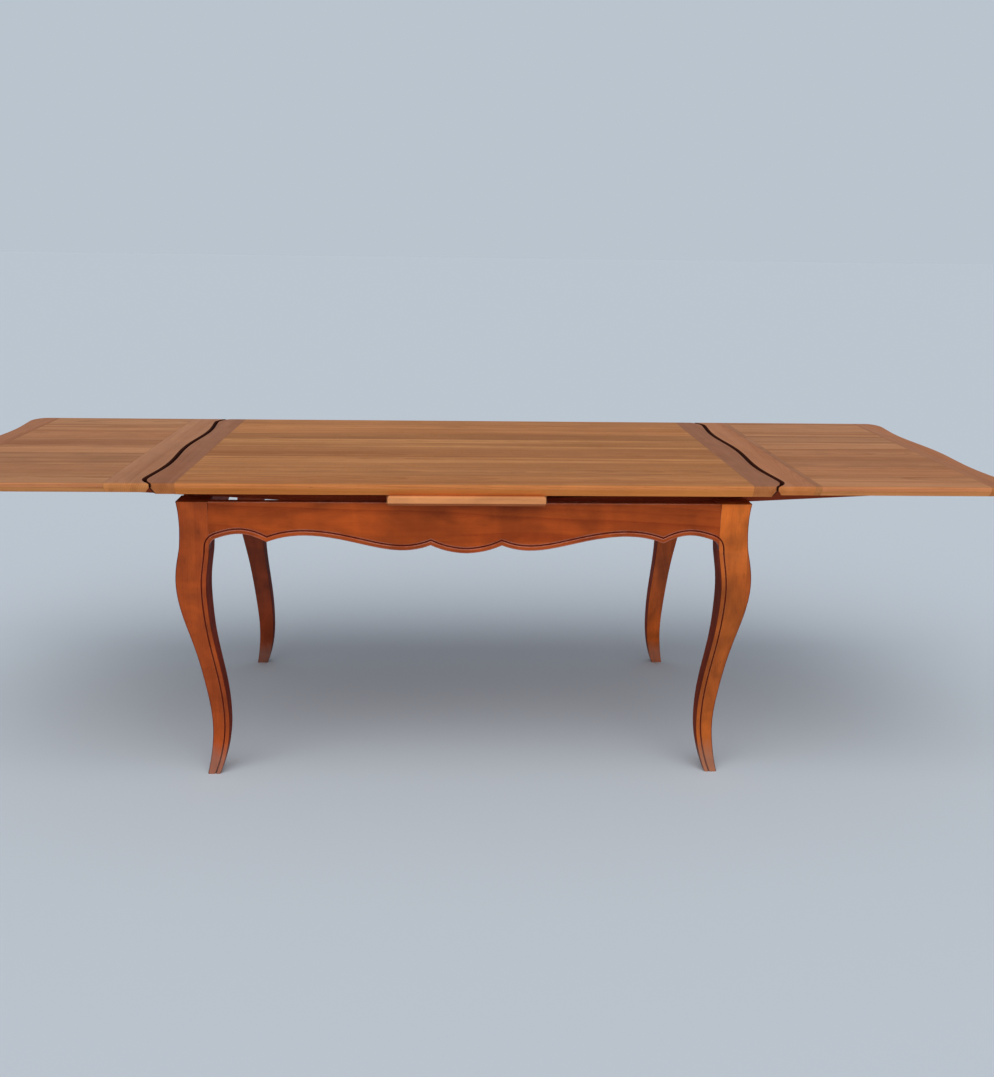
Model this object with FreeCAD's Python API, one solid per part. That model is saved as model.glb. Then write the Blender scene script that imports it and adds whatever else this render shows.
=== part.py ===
"""Draw leaf table: a loose main top over a fixed centre board, and a leaf on lopers at each end.

Millimetres. X runs along the table, Y across it (front at -Y), Z up. The origin is on the floor
under the middle of the table. The table is modelled drawn out: both leaves at their outer stops
and the main top down between them.
"""

import os
import math

import FreeCAD
import Part
from FreeCAD import Vector

# ---------------------------------------------------------------- driving dimensions
# tops
table_height = 760.0
top_length = 1480.0
top_depth = 1010.0
top_thick = 28.0
leaf_thick = 24.0
leaf_gap = 6.5            # joint between the main top and a drawn leaf
leaf_extra = 8.0          # how much longer a leaf is than the room beside the centre board
top_breadboard = 68.0
leaf_breadboard_in = 86.0
leaf_breadboard_out = 68.0

# serpentine ends of the top and leaves
wave_rise = 5.0           # half the swing of the curve at the middle of an end
waves_across = 2.065      # waves over the table's depth
wave_flare = 0.8          # how much more the curve swings at the corners
curl_length = 65.0        # how much of each side of an end curls in towards its corner
curl_round = 85.0

# moulded edges
nose_height = 11.0        # upright part of the edge, with its round arris
nose_round = 5.0          # upper arris
joint_bevel = 3.2         # upper arris of a leaf beside the main top
undercut_in = 13.0        # how far the edge runs back under the nose
cap_undercut_in = 8.0     # the same on the centre board's caps
top_corner = 16.0
leaf_corner = 30.0

# fixed centre board
board_width = 376.0
board_thick = 25.0
cap_width = 34.0          # moulded caps at its front and rear ends
cap_inset = 4.0           # each side of a cap stands back from the board's side
board_arris = 1.5

# frame
overhang_end = 58.0       # main top beyond the legs
overhang_side = 43.0
apron_thick = 24.0
apron_setback = 4.0
rail_thick = 36.0
rail_bottom = 144.0       # below the table's surface

# lower edge of the long aprons: depths below the table's surface, and places along it
lobe_low = 176.5
lobe_half = 85.0
lobe_cusp = 157.0
swell_low = 169.5
swell_low_share = 0.338   # of the way from the middle to the brow's cusp
swell_rise = 149.0
swell_rise_share = 0.578
swell_top = 134.3
swell_top_share = 0.797
brow_cusp = 150.5
brow_cusp_in = 135.0      # from the leg's inner face
arch_top = 130.7
arch_top_in = 67.0
arch_side = 140.0
arch_side_in = 22.0
arch_foot = 168.0
arch_rise = 0.55          # slope where the arch leaves the cusp
lobe_fullness = 0.26      # how soon the middle lobe rises: the share of its rise at half its width

# lower edge of the end aprons
end_lobe_low = 170.0
end_rise_share = 0.36     # halfway up, as a share of the way from the middle to the cusp
end_top_share = 0.68      # its highest point
end_brow_fall = 0.58      # slope where it comes down to the cusp

# bead worked along the lower edge and down the legs
bead_width = 9.8
groove_width = 3.6
groove_depth = 3.0
bead_clear = 6.0          # how far the cutters stand out of the faces
line_run_out = 1.0        # how far the leg's groove runs up into the block

# legs: the block by depth below the table's surface and recess of the outer arris from the frame's
# corner; the sweep by share of the height under the block, recess, and width of the square
leg_top_width = 74.0
leg_block = ((85.0, 3.5), (120.0, 4.5), (168.0, 2.0))
leg_sweep = (
    (1.0, 2.0, 72.0),
    (0.94, -4.0, 74.5),
    (0.856, -7.5, 73.0),
    (0.772, -3.0, 68.5),
    (0.671, 9.0, 59.5),
    (0.554, 25.0, 51.0),
    (0.419, 39.5, 48.0),
    (0.302, 49.0, 45.0),
    (0.201, 52.5, 42.0),
    (0.101, 48.5, 38.5),
    (0.037, 42.5, 34.5),
    (0.0, 38.0, 31.0),
)
leg_round = 5.0           # outer arris
leg_soften = 2.0          # the other three arrises, below the aprons
leg_sharp = 0.02          # the same, where the aprons meet the leg flush

# joints in the frame
tenon_thick = 10.0
tenon_length = 45.0
tenon_shoulder_top = 14.0
tenon_bottom = 140.0      # below the table's surface
tenon_fit = 0.1
tongue_thick = 8.0
tongue_length = 18.0
tongue_stop = 45.0        # the tongue stops short of the edges
rail_stub = 10.0
rail_stub_shoulder = 12.0

# lopers
loper_width = 36.0
loper_outer_in = 100.0    # right leaf's pair, centre lines from the frame's sides
loper_inner_in = 150.0    # left leaf's pair
loper_under = 64.0        # lower face where it leaves the frame, below the table's surface
loper_inner_end = 60.0    # how far it runs past the middle of the frame
loper_tip_in = 62.0       # how far it stops short of the leaf's outer end
loper_nose = 10.0
loper_side_fit = 0.8
loper_face_fit = 0.6

# leaf travel
leaf_board_fit = 1.5      # leaf pushed in, to the centre board
leaf_under_top = 0.6      # leaf pushed in, to the main top
seat_fit = 0.3            # main top over the centre board, drawn out

# pegs, pins and screws
peg_round = 28.0
peg_below = 36.0
peg_in_panel = 14.0
peg_fit = 1.0
peg_in = 78.0             # from the centre board's long edges
peg_chamfer = 3.0
pin_round = 10.0
pin_out = 6.0
screw_shank = 5.0
screw_head = 10.0
screw_grip = 30.0
screw_sink = 1.0
board_screw_in = 38.0     # from the centre board's long edges
rail_screw_in = 112.0     # from the nearest loper's centre line
screw_head_thick = 3.0
loper_screw_deep = 10.0   # thread in the leaf
loper_screw_up = 3.0      # head above the loper's lower face
loper_screw_end = 60.0    # last screw from the loper's tip

# ---------------------------------------------------------------- worked-out values
half_top = top_length / 2
half_depth = top_depth / 2
half_board = board_width / 2
half_frame_x = half_top - overhang_end
half_frame_y = half_depth - overhang_side
leaf_length = half_top - half_board + leaf_extra
wave_length = top_depth / waves_across
top_under = table_height - top_thick
frame_top = top_under - seat_fit - board_thick
board_top = top_under - seat_fit
leaf_under = table_height - leaf_thick
leg_sweep_high = table_height - leg_block[-1][0]
leg_inner_x = half_frame_x - leg_top_width
leg_inner_y = half_frame_y - leg_top_width
apron_outer_y = half_frame_y - apron_setback
apron_inner_y = apron_outer_y - apron_thick
apron_outer_x = half_frame_x - apron_setback
apron_inner_x = apron_outer_x - apron_thick
leaf_inner_x = half_top + leaf_gap
leaf_reach = leaf_inner_x + leaf_length
loper_outer_y = half_frame_y - loper_outer_in
loper_inner_y = half_frame_y - loper_inner_in
board_screw_x = half_board - board_screw_in
rail_screw_y = loper_inner_y - rail_screw_in
peg_x = half_board - peg_in
BIG = 2000.0
cut_over = 10.0
pick_over = 1.0           # how far past a face an edge is looked for


def wave(y):
    """Return how far a serpentine end stands out at y, between its two curls."""
    swing = 1 + wave_flare * (y / half_depth) ** 2
    return wave_rise * swing * math.cos(2 * math.pi * y / wave_length)


def wave_lean(y):
    """Return the angle by which the serpentine end leans back from the depth at y."""
    turn = 2 * math.pi / wave_length
    swing = 1 + wave_flare * (y / half_depth) ** 2
    swelling = 2 * wave_flare * y / half_depth ** 2
    return math.atan(wave_rise * (swing * turn * math.sin(turn * y) - swelling * math.cos(turn * y)))


def outwards(angle, length):
    """Return the vector of a length that leans back from +X by an angle."""
    return Vector(length * math.cos(angle), length * math.sin(angle), 0)


curl_y = half_depth - curl_length
curl_lean = wave_lean(curl_y)


def curl_middle(x):
    """Return the middle of the rear curl of a serpentine end about x."""
    return Vector(x + wave(curl_y), curl_y, 0) - outwards(curl_lean, curl_round)


inner_corner = curl_middle(leaf_inner_x)
inner_corner.x += math.sqrt(curl_round ** 2 - (half_depth - inner_corner.y) ** 2)
travel_x = inner_corner.x - half_board - leaf_board_fit
travel_drop = top_thick + leaf_under_top
slope = travel_drop / travel_x


def loper_low(x):
    """Return the height of a right loper's lower face at x, drawn out."""
    return table_height - loper_under + slope * (x - half_frame_x)


loper_seat = leaf_inner_x + wave(0)
under_board = frame_top - loper_low(half_board)
under_top = top_under - loper_low(loper_seat)
loper_high = min(under_board, under_top) - loper_face_fit
loper_tip = leaf_reach - loper_tip_in


# ---------------------------------------------------------------- small helpers
def box(x0, x1, y0, y1, z0, z1):
    """Return a box between two corners."""
    return Part.makeBox(x1 - x0, y1 - y0, z1 - z0, Vector(x0, y0, z0))


def mirror_x(shape):
    """Return the shape reflected to the other end of the table."""
    return shape.mirror(Vector(0, 0, 0), Vector(1, 0, 0))


def mirror_y(shape):
    """Return the shape reflected to the other side of the table."""
    return shape.mirror(Vector(0, 0, 0), Vector(0, 1, 0))


def prism(points, direction):
    """Return the solid swept by a closed polygon along a vector."""
    wire = Part.makePolygon([Vector(*p) for p in points + points[:1]])
    return Part.Face(wire).extrude(Vector(*direction))


def spline(points, start=None, end=None):
    """Return a smooth edge through the points, with optional end directions."""
    curve = Part.BSplineCurve()
    if start is None:
        curve.interpolate(Points=points)
    else:
        curve.interpolate(Points=points, InitialTangent=start, FinalTangent=end)
    return curve.toShape()


def edges_at(shape, z, keep=None):
    """Return the shape's edges that lie at height z, where keep allows them."""
    found = []
    for edge in shape.Edges:
        ends = edge.BoundBox
        level = abs(ends.ZMin - z) < 1e-3 and abs(ends.ZMax - z) < 1e-3
        if level and (keep is None or keep(edge.CenterOfMass)):
            found.append(edge)
    return found


def save(shape, node):
    """Write one sub-part."""
    shape = shape.removeSplitter()
    if not shape.isValid():
        print("not valid:", node)
    print("%-26s solids %d  volume %10.1f" % (node, len(shape.Solids), shape.Volume))
    shape.exportStep("parts/%s.step" % node)


# ---------------------------------------------------------------- tops
def arc(middle, radius, start, end):
    """Return an arc about a middle, from one angle to another."""
    angles = (start, (start + end) / 2, end)
    return Part.Arc(*[middle + outwards(angle, radius) for angle in angles]).toShape()


def serpentine(x, turn):
    """Return a serpentine end about x, front to back, with its curls run on to an angle."""
    count = 16
    ys = [-curl_y + i * 2 * curl_y / count for i in range(count + 1)]
    points = [Vector(x + wave(y), y, 0) for y in ys]
    rear = outwards(curl_lean + math.pi / 2, 1)
    curl = arc(curl_middle(x), curl_round, curl_lean, turn)
    return [mirror_y(curl), spline(points, Vector(-rear.x, rear.y, 0), rear), curl]


def end_edges(x, corner):
    """Return a serpentine end about x, front to back, with a round corner at each side."""
    inner_round = curl_round - corner
    turn = math.asin((half_depth - corner - curl_middle(x).y) / inner_round)
    back = arc(curl_middle(x) + outwards(turn, inner_round), corner, turn, math.pi / 2)
    return [mirror_y(back)] + serpentine(x, turn) + [back]


def straight_end(x, reach):
    """Return a straight end at x, front to back."""
    return [Part.makeLine(Vector(x, -reach, 0), Vector(x, reach, 0))]


def slab(left, right, z0, z1, lean=0.0):
    """Return a slab between two ends, its sides leaning that far towards +X at the top."""
    def tip(edges, side):
        return max((v.Point for edge in edges for v in edge.Vertexes), key=lambda p: side * p.y)

    front = Part.makeLine(tip(left, -1), tip(right, -1))
    back = Part.makeLine(tip(right, 1), tip(left, 1))
    wire = Part.Wire(Part.__sortEdges__([front, back] + left + right))
    solid = Part.Face(wire).extrude(Vector(lean, 0, z1 - z0))
    solid.translate(Vector(0, 0, z0))
    return solid


def mould(solid, z0, z1, keep=None):
    """Run the edge back underneath and round its upper arris, where keep allows."""
    solid = solid.makeChamfer(z1 - z0 - nose_height, undercut_in, edges_at(solid, z0, keep))
    return solid.makeFillet(nose_round, edges_at(solid, z1, keep))


def main_top():
    """Return the main top as one solid, before it is split into its three pieces."""
    right = end_edges(half_top, top_corner)
    solid = slab([mirror_x(edge) for edge in right], right, top_under, table_height)
    return mould(solid, top_under, table_height)


def right_leaf():
    """Return the right leaf as one solid, before it is split into its three pieces."""
    spare_x = leaf_inner_x - leaf_breadboard_in
    blank = slab(straight_end(spare_x, half_depth), end_edges(leaf_reach, leaf_corner),
                 leaf_under, table_height)
    blank = mould(blank, leaf_under, table_height, lambda c: c.x > leaf_inner_x)
    reach = half_depth + cut_over
    turn = math.asin((reach - curl_middle(leaf_inner_x).y) / curl_round)
    joint = straight_end(spare_x - cut_over, reach), serpentine(leaf_inner_x, turn)
    over = table_height + cut_over
    waste = slab(*joint, leaf_under - cut_over, over)
    bevel = slab(*joint, table_height - joint_bevel, over, joint_bevel + cut_over)
    return blank.cut(waste).cut(bevel)


def tongue(x0, x1, z_mid, thick, depth, slack=0.0):
    """Return the tongue that joins a panel to a breadboard end, or its groove with some slack."""
    half = thick / 2 + slack
    reach = depth - tongue_stop + slack
    return box(x0 - slack, x1 + slack, -reach, reach, z_mid - half, z_mid + half)


def split_top(whole):
    """Return the panel and the two breadboard ends of the main top."""
    joint = half_top - top_breadboard
    z_mid = table_height - top_thick / 2
    panel = whole.common(box(-joint, joint, -BIG, BIG, 0, BIG))
    right = whole.common(box(joint, BIG, -BIG, BIG, 0, BIG))
    inside = tongue(joint, joint + tongue_length, z_mid, tongue_thick, half_depth)
    groove = tongue(joint, joint + tongue_length, z_mid, tongue_thick, half_depth, tenon_fit)
    panel = panel.fuse(inside).fuse(mirror_x(inside))
    right = right.cut(groove)
    return panel, mirror_x(right), right


def split_leaf(whole):
    """Return the panel, inner breadboard end and outer breadboard end of the right leaf."""
    joint_in = leaf_inner_x + leaf_breadboard_in
    joint_out = leaf_reach - leaf_breadboard_out
    z_mid = table_height - leaf_thick / 2
    panel = whole.common(box(joint_in, joint_out, -BIG, BIG, 0, BIG))
    inner = whole.common(box(0, joint_in, -BIG, BIG, 0, BIG))
    outer = whole.common(box(joint_out, BIG, -BIG, BIG, 0, BIG))
    for x0, x1 in ((joint_in - tongue_length, joint_in), (joint_out, joint_out + tongue_length)):
        panel = panel.fuse(tongue(x0, x1, z_mid, tongue_thick, half_depth))
        groove = tongue(x0, x1, z_mid, tongue_thick, half_depth, tenon_fit)
        inner = inner.cut(groove)
        outer = outer.cut(groove)
    return panel, inner, outer


# ---------------------------------------------------------------- lopers
def right_loper(y_mid):
    """Return one loper of the right leaf: parallel inside the frame, tapered under the leaf."""
    y0 = y_mid - loper_width / 2
    outline = [
        (-loper_inner_end, y0, loper_low(-loper_inner_end)),
        (loper_tip - loper_nose, y0, loper_low(loper_tip - loper_nose)),
        (loper_tip, y0, loper_low(loper_tip) + loper_nose / 2),
        (loper_tip, y0, leaf_under),
        (loper_seat, y0, leaf_under),
        (loper_seat, y0, loper_low(loper_seat) + loper_high),
        (-loper_inner_end, y0, loper_low(-loper_inner_end) + loper_high),
    ]
    return prism(outline, (0, loper_width, 0))


def stop_pin(y_mid):
    """Return the pin through a right loper's inner end, which stops it at the cross rail."""
    x = -rail_thick / 2 - loper_face_fit - pin_round / 2
    z = loper_low(x) + loper_high / 2
    length = loper_width + 2 * pin_out
    return Part.makeCylinder(pin_round / 2, length, Vector(x, y_mid - length / 2, z), Vector(0, 1, 0))


def loper_screw_places():
    """Return the places along a right loper where screws go up into the leaf."""
    first = leaf_inner_x + leaf_breadboard_in / 2
    last = loper_tip - loper_screw_end
    return [first, (first + last) / 2, last]


def loper_screw(x, y_mid, slack=0.0):
    """Return one screw up through a loper into the leaf, or its hole with some slack."""
    low = Vector(x, y_mid, loper_low(x) + loper_screw_up)
    head = Part.makeCylinder(screw_head / 2 + slack, screw_head_thick, low)
    shank = Part.makeCylinder(screw_shank / 2 + slack, leaf_under + loper_screw_deep - low.z, low)
    return head.fuse(shank)


def loper_screw_hole(x, y_mid):
    """Return the hole for a loper screw, open underneath for the driver."""
    mouth = loper_low(x) - loper_screw_up
    well = Part.makeCylinder(screw_head / 2 + tenon_fit, 2 * loper_screw_up, Vector(x, y_mid, mouth))
    return loper_screw(x, y_mid, tenon_fit).fuse(well)


# ---------------------------------------------------------------- legs
def leg_section(z, recess, width, rounds):
    """Return the outline of the rear right leg at a height; rounds are its four corner radii."""
    x1 = half_frame_x - recess
    y1 = half_frame_y - recess
    x0 = x1 - width
    y0 = y1 - width
    corners = [(x1, y1, -1, -1), (x0, y1, 1, -1), (x0, y0, 1, 1), (x1, y0, -1, 1)]
    arcs = []
    for (x, y, sx, sy), r in zip(corners, rounds):
        along_x = Vector(x + sx * r, y, z)
        along_y = Vector(x, y + sy * r, z)
        bend = r * (1 - math.sqrt(0.5))
        middle = Vector(x + sx * bend, y + sy * bend, z)
        first, last = (along_y, along_x) if sx * sy > 0 else (along_x, along_y)
        arcs.append(Part.Arc(first, middle, last).toShape())
    edges = []
    for i, arc in enumerate(arcs):
        edges.append(arc)
        after = arcs[(i + 1) % 4]
        edges.append(Part.makeLine(arc.Vertexes[-1].Point, after.Vertexes[0].Point))
    return Part.Wire(edges)


def bead_line_tool(level_from):
    """Return the cutter for the bead's groove down the rear right leg's rear face."""
    sections = []
    for share, recess, width in leg_sweep:
        x = half_frame_x - recess - width + bead_width
        y = half_frame_y - recess
        z = share * leg_sweep_high
        corners = [(x, y - groove_depth), (x + groove_width, y - groove_depth),
                   (x + groove_width, y + bead_clear), (x, y + bead_clear)]
        points = [Vector(cx, cy, z) for cx, cy in corners]
        sections.append(Part.makePolygon(points + points[:1]))
    tool = Part.makeLoft(sections, True, False)
    return tool.common(box(0, BIG, 0, BIG, -BIG, level_from))


def swap_xy(shape, low_x, low_y):
    """Return a shape reflected across the leg's diagonal, so its rear face becomes its end face."""
    shift = shape.copy()
    shift.translate(Vector(-low_x, -low_y, 0))
    turned = shift.mirror(Vector(0, 0, 0), Vector(1, -1, 0))
    turned.translate(Vector(low_x, low_y, 0))
    return turned


def plain_leg():
    """Return the rear right leg before its joints are cut."""
    sharp = (leg_round, leg_sharp, leg_sharp, leg_sharp)
    wires = [leg_section(frame_top, 0.0, leg_top_width, sharp)]
    for depth, recess in leg_block:
        wires.append(leg_section(table_height - depth, recess, leg_top_width - recess, sharp))
    block = Part.makeLoft(wires, True, False)
    soft = (leg_round, leg_soften, leg_soften, leg_soften)
    sweep = Part.makeLoft([leg_section(s * leg_sweep_high, r, w, soft) for s, r, w in leg_sweep], True, False)
    return block.fuse(sweep)


# ---------------------------------------------------------------- aprons
def lower_edge(half_span, with_lobes):
    """Return the half of an apron's lower edge from the middle to the leg, as edges in XZ."""
    def at(x, depth):
        return Vector(x, 0, table_height - depth)

    cusp_x = half_span - brow_cusp_in
    arch_x = half_span - arch_top_in
    edges = []
    if with_lobes:
        inner = at(lobe_half / 2, lobe_low + (lobe_cusp - lobe_low) * lobe_fullness)
        edges.append(Part.Arc(at(0, lobe_low), inner, at(lobe_half, lobe_cusp)).toShape())
        edges.append(spline([at(lobe_half, lobe_cusp), at(cusp_x * swell_low_share, swell_low),
                             at(cusp_x * swell_rise_share, swell_rise),
                             at(cusp_x * swell_top_share, swell_top), at(cusp_x, brow_cusp)]))
    else:
        edges.append(spline([at(0, end_lobe_low), at(cusp_x * end_rise_share, (end_lobe_low + swell_top) / 2),
                             at(cusp_x * end_top_share, swell_top), at(cusp_x, brow_cusp)],
                            Vector(1, 0, 0), Vector(1, 0, -end_brow_fall)))
    edges.append(spline([at(cusp_x, brow_cusp), at(arch_x, arch_top), at(half_span - arch_side_in, arch_side),
                         at(half_span, arch_foot)], Vector(1, 0, arch_rise), Vector(0, 0, -1)))
    return edges


def apron_blank(half_span, with_lobes, y0, y1):
    """Return an apron between shoulders, along X, with its scalloped lower edge."""
    half = lower_edge(half_span, with_lobes)
    other = [mirror_x(edge) for edge in half]
    corner = Vector(half_span, 0, frame_top)
    corner_left = Vector(-half_span, 0, frame_top)
    foot = table_height - arch_foot
    closing = [
        Part.makeLine(Vector(half_span, 0, foot), corner),
        Part.makeLine(corner, corner_left),
        Part.makeLine(corner_left, Vector(-half_span, 0, foot)),
    ]
    wire = Part.Wire(Part.__sortEdges__(half + other + closing))
    solid = Part.Face(wire).extrude(Vector(0, y1 - y0, 0))
    solid.translate(Vector(0, y0, 0))
    return solid


def groove_ribbon(edge, face_y, x_from, x_to):
    """Return the cutter for the groove above one stretch of a lower edge, on a face at +Y."""
    count = 12
    first, last = edge.ParameterRange
    near, far = [], []
    for i in range(-1, count + 2):
        t = first + (last - first) * min(max(i, 0), count) / count
        point = edge.valueAt(t)
        along = edge.tangentAt(t)
        if along.x < 0 or (abs(along.x) < 1e-6 and along.z > 0):
            along = along * -1
        out = Vector(-along.z, 0, along.x)
        run_on = along * (bead_width * (-1 if i < 0 else 1 if i > count else 0))
        near.append(point + out * bead_width + run_on)
        far.append(point + out * (bead_width + groove_width) + run_on)
    sides = [spline(near), spline(far)]
    caps = [Part.makeLine(near[0], far[0]), Part.makeLine(near[-1], far[-1])]
    face = Part.Face(Part.Wire(Part.__sortEdges__(sides + caps)))
    tool = face.extrude(Vector(0, groove_depth + bead_clear, 0))
    tool.translate(Vector(0, face_y - groove_depth, 0))
    return tool.common(box(x_from, x_to, -BIG, BIG, 0, BIG))


def bead_tools(half_span, with_lobes, face_y):
    """Return the cutters for the whole groove above an apron's bead, on its face at +Y."""
    tools = []
    edges = lower_edge(half_span, with_lobes)
    x_from = 0.0
    for edge in edges:
        last = edge is edges[-1]
        x_to = BIG if last else max(v.X for v in edge.Vertexes)
        tool = groove_ribbon(edge, face_y, x_from, x_to)
        tools += [tool, mirror_x(tool)]
        x_from = x_to
    return tools


def along_y(shape):
    """Return a shape made along X turned to run along Y at the right end."""
    turned = shape.copy()
    turned.rotate(Vector(0, 0, 0), Vector(0, 0, 1), -90)
    return turned


def long_tenon(slack=0.0):
    """Return the tenon at the right end of the rear apron, or its mortise with some slack."""
    y0 = apron_inner_y + (apron_thick - tenon_thick) / 2
    return box(leg_inner_x, leg_inner_x + tenon_length + slack, y0 - slack, y0 + tenon_thick + slack,
               table_height - tenon_bottom - slack, frame_top - tenon_shoulder_top + slack)


def end_tenon(slack=0.0):
    """Return the tenon at the rear end of the right end apron, or its mortise with some slack."""
    x0 = apron_inner_x + (apron_thick - tenon_thick) / 2
    return box(x0 - slack, x0 + tenon_thick + slack, leg_inner_y, leg_inner_y + tenon_length + slack,
               table_height - tenon_bottom - slack, frame_top - tenon_shoulder_top + slack)


def rear_right_leg():
    """Return the rear right leg with its mortises and beads."""
    leg = plain_leg()
    leg = leg.cut(long_tenon(tenon_fit)).cut(end_tenon(tenon_fit))
    line = bead_line_tool(leg_sweep_high + line_run_out)
    arch = groove_ribbon(lower_edge(leg_inner_x, True)[-1], apron_outer_y, leg_inner_x, BIG)
    for tool in (line, arch):
        leg = leg.cut(tool).cut(swap_xy(tool, half_frame_x, half_frame_y))
    return leg


def rail_end(slack=0.0):
    """Return the rear stub of the cross rail, or its housing with some slack."""
    half = rail_thick / 2 + slack
    return box(-half, half, apron_inner_y, apron_inner_y + rail_stub + slack,
               table_height - rail_bottom + rail_stub_shoulder - slack,
               frame_top - rail_stub_shoulder + slack)


def rear_apron():
    """Return the rear apron with its tenons, its bead and the housing for the cross rail."""
    apron = apron_blank(leg_inner_x, True, apron_inner_y, apron_outer_y)
    apron = apron.fuse(long_tenon()).fuse(mirror_x(long_tenon()))
    for tool in bead_tools(leg_inner_x, True, apron_outer_y):
        apron = apron.cut(tool)
    for x, y in board_screw_places():
        if y > apron_inner_y:
            apron = apron.cut(board_screw(x, y, tenon_fit))
    return apron.cut(rail_end(tenon_fit))


def right_end_apron(loper_y):
    """Return the right end apron with its tenons, its bead and the notches for two lopers."""
    apron = apron_blank(leg_inner_y, False, apron_inner_x, apron_outer_x)
    for tool in bead_tools(leg_inner_y, False, apron_outer_x):
        apron = apron.cut(tool)
    apron = along_y(apron)
    apron = apron.fuse(end_tenon()).fuse(mirror_y(end_tenon()))
    for y in (-loper_y, loper_y):
        apron = apron.cut(loper_way(y))
    return apron


def loper_way(y_mid):
    """Return the way that a right loper takes through the frame, with its clearances."""
    half = loper_width / 2 + loper_side_fit
    low_0 = loper_low(-half_frame_x) - loper_face_fit
    low_1 = loper_low(half_frame_x) - loper_face_fit
    height = loper_high + 2 * loper_face_fit
    outline = [
        (-half_frame_x, y_mid - half, low_0),
        (half_frame_x, y_mid - half, low_1),
        (half_frame_x, y_mid - half, low_1 + height),
        (-half_frame_x, y_mid - half, low_0 + height),
    ]
    return prism(outline, (0, 2 * half, 0))


def cross_rail():
    """Return the rail across the middle of the frame, with a slot for each loper."""
    rail = box(-rail_thick / 2, rail_thick / 2, -apron_inner_y, apron_inner_y,
               table_height - rail_bottom, frame_top)
    rail = rail.fuse(rail_end()).fuse(mirror_y(rail_end()))
    for sign in (-1, 1):
        rail = rail.cut(loper_way(sign * loper_outer_y))
        rail = rail.cut(mirror_x(loper_way(sign * loper_inner_y)))
    for x, y in board_screw_places():
        if abs(x) < rail_thick / 2:
            rail = rail.cut(board_screw(x, y, tenon_fit))
    return rail


# ---------------------------------------------------------------- centre board
def board_screw_places():
    """Return where screws hold the centre board down, to the aprons and the cross rail."""
    y_apron = (apron_inner_y + apron_outer_y) / 2
    corners = [(x, y) for x in (-board_screw_x, board_screw_x) for y in (-y_apron, y_apron)]
    return corners + [(0.0, -rail_screw_y), (0.0, rail_screw_y)]


def board_screw(x, y, slack=0.0):
    """Return one countersunk screw down through the centre board, or its hole with some slack."""
    head_top = board_top - screw_sink
    head_deep = (screw_head - screw_shank) / 2
    head = Part.makeCone(screw_shank / 2 + slack, screw_head / 2 + slack, head_deep,
                         Vector(x, y, head_top - head_deep))
    length = board_thick + screw_grip
    shank = Part.makeCylinder(screw_shank / 2 + slack, length - head_deep, Vector(x, y, head_top - length))
    screw = head.fuse(shank)
    if slack:
        screw = screw.fuse(Part.makeCylinder(screw_head / 2 + slack, 2 * screw_sink, Vector(x, y, head_top)))
    return screw


def guide_peg(x):
    """Return one peg that stands down from the main top."""
    low = top_under - peg_below
    peg = Part.makeCylinder(peg_round / 2, peg_below + peg_in_panel, Vector(x, 0, low))
    return peg.makeChamfer(peg_chamfer, edges_at(peg, low))


def centre_board():
    """Return the centre board between its two caps."""
    reach = half_depth - cap_width
    z_mid = board_top - board_thick / 2
    board = box(-half_board, half_board, -reach, reach, frame_top, board_top)
    board = board.makeFillet(board_arris, edges_at(board, board_top, lambda c: abs(c.x) > 1))
    inside = cap_tongue(z_mid)
    board = board.fuse(inside).fuse(mirror_y(inside))
    for x in (-peg_x, peg_x):
        board = board.cut(Part.makeCylinder(peg_round / 2 + peg_fit, BIG, Vector(x, 0, 0)))
    for x, y in board_screw_places():
        board = board.cut(board_screw(x, y, tenon_fit))
    return board


def cap_tongue(z_mid, slack=0.0):
    """Return the tongue into the rear cap, or its groove with some slack."""
    y0 = half_depth - cap_width
    reach = half_board - tongue_stop + slack
    half = tongue_thick / 2 + slack
    return box(-reach, reach, y0 - slack, y0 + tongue_length + slack, z_mid - half, z_mid + half)


def rear_cap():
    """Return the moulded cap at the centre board's rear end."""
    half = half_board - cap_inset
    y0 = half_depth - cap_width
    cap = box(-half, half, y0, half_depth, frame_top, board_top)
    cap = cap.makeFillet(nose_round, edges_at(cap, board_top, lambda c: c.y > y0 + pick_over))
    cap = cap.makeChamfer(board_thick - nose_height, cap_undercut_in,
                          edges_at(cap, frame_top, lambda c: c.y > half_depth - pick_over))
    return cap.cut(cap_tongue(board_top - board_thick / 2, tenon_fit))


# ---------------------------------------------------------------- assembly
def make_frame():
    """Write the standing frame and the centre board."""
    leg = rear_right_leg()
    save(leg, "rear_right_leg")
    save(mirror_x(leg), "rear_left_leg")
    save(mirror_y(leg), "front_right_leg")
    save(mirror_x(mirror_y(leg)), "front_left_leg")
    apron = rear_apron()
    save(apron, "rear_apron")
    save(mirror_y(apron), "front_apron")
    save(right_end_apron(loper_outer_y), "right_end_apron")
    save(mirror_x(right_end_apron(loper_inner_y)), "left_end_apron")
    save(cross_rail(), "cross_rail")
    save(centre_board(), "centre_board")
    save(rear_cap(), "centre_board_rear_cap")
    save(mirror_y(rear_cap()), "centre_board_front_cap")
    save(Part.makeCompound([board_screw(x, y) for x, y in board_screw_places()]), "centre_board_screws")


def make_top():
    """Write the loose main top."""
    panel, left_end, right_end = split_top(main_top())
    pegs = [guide_peg(x) for x in (-peg_x, peg_x)]
    for peg in pegs:
        panel = panel.cut(peg)
    save(panel, "main_top_panel")
    save(left_end, "main_top_left_breadboard")
    save(right_end, "main_top_right_breadboard")
    save(Part.makeCompound(pegs), "main_top_guide_pegs")


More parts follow.
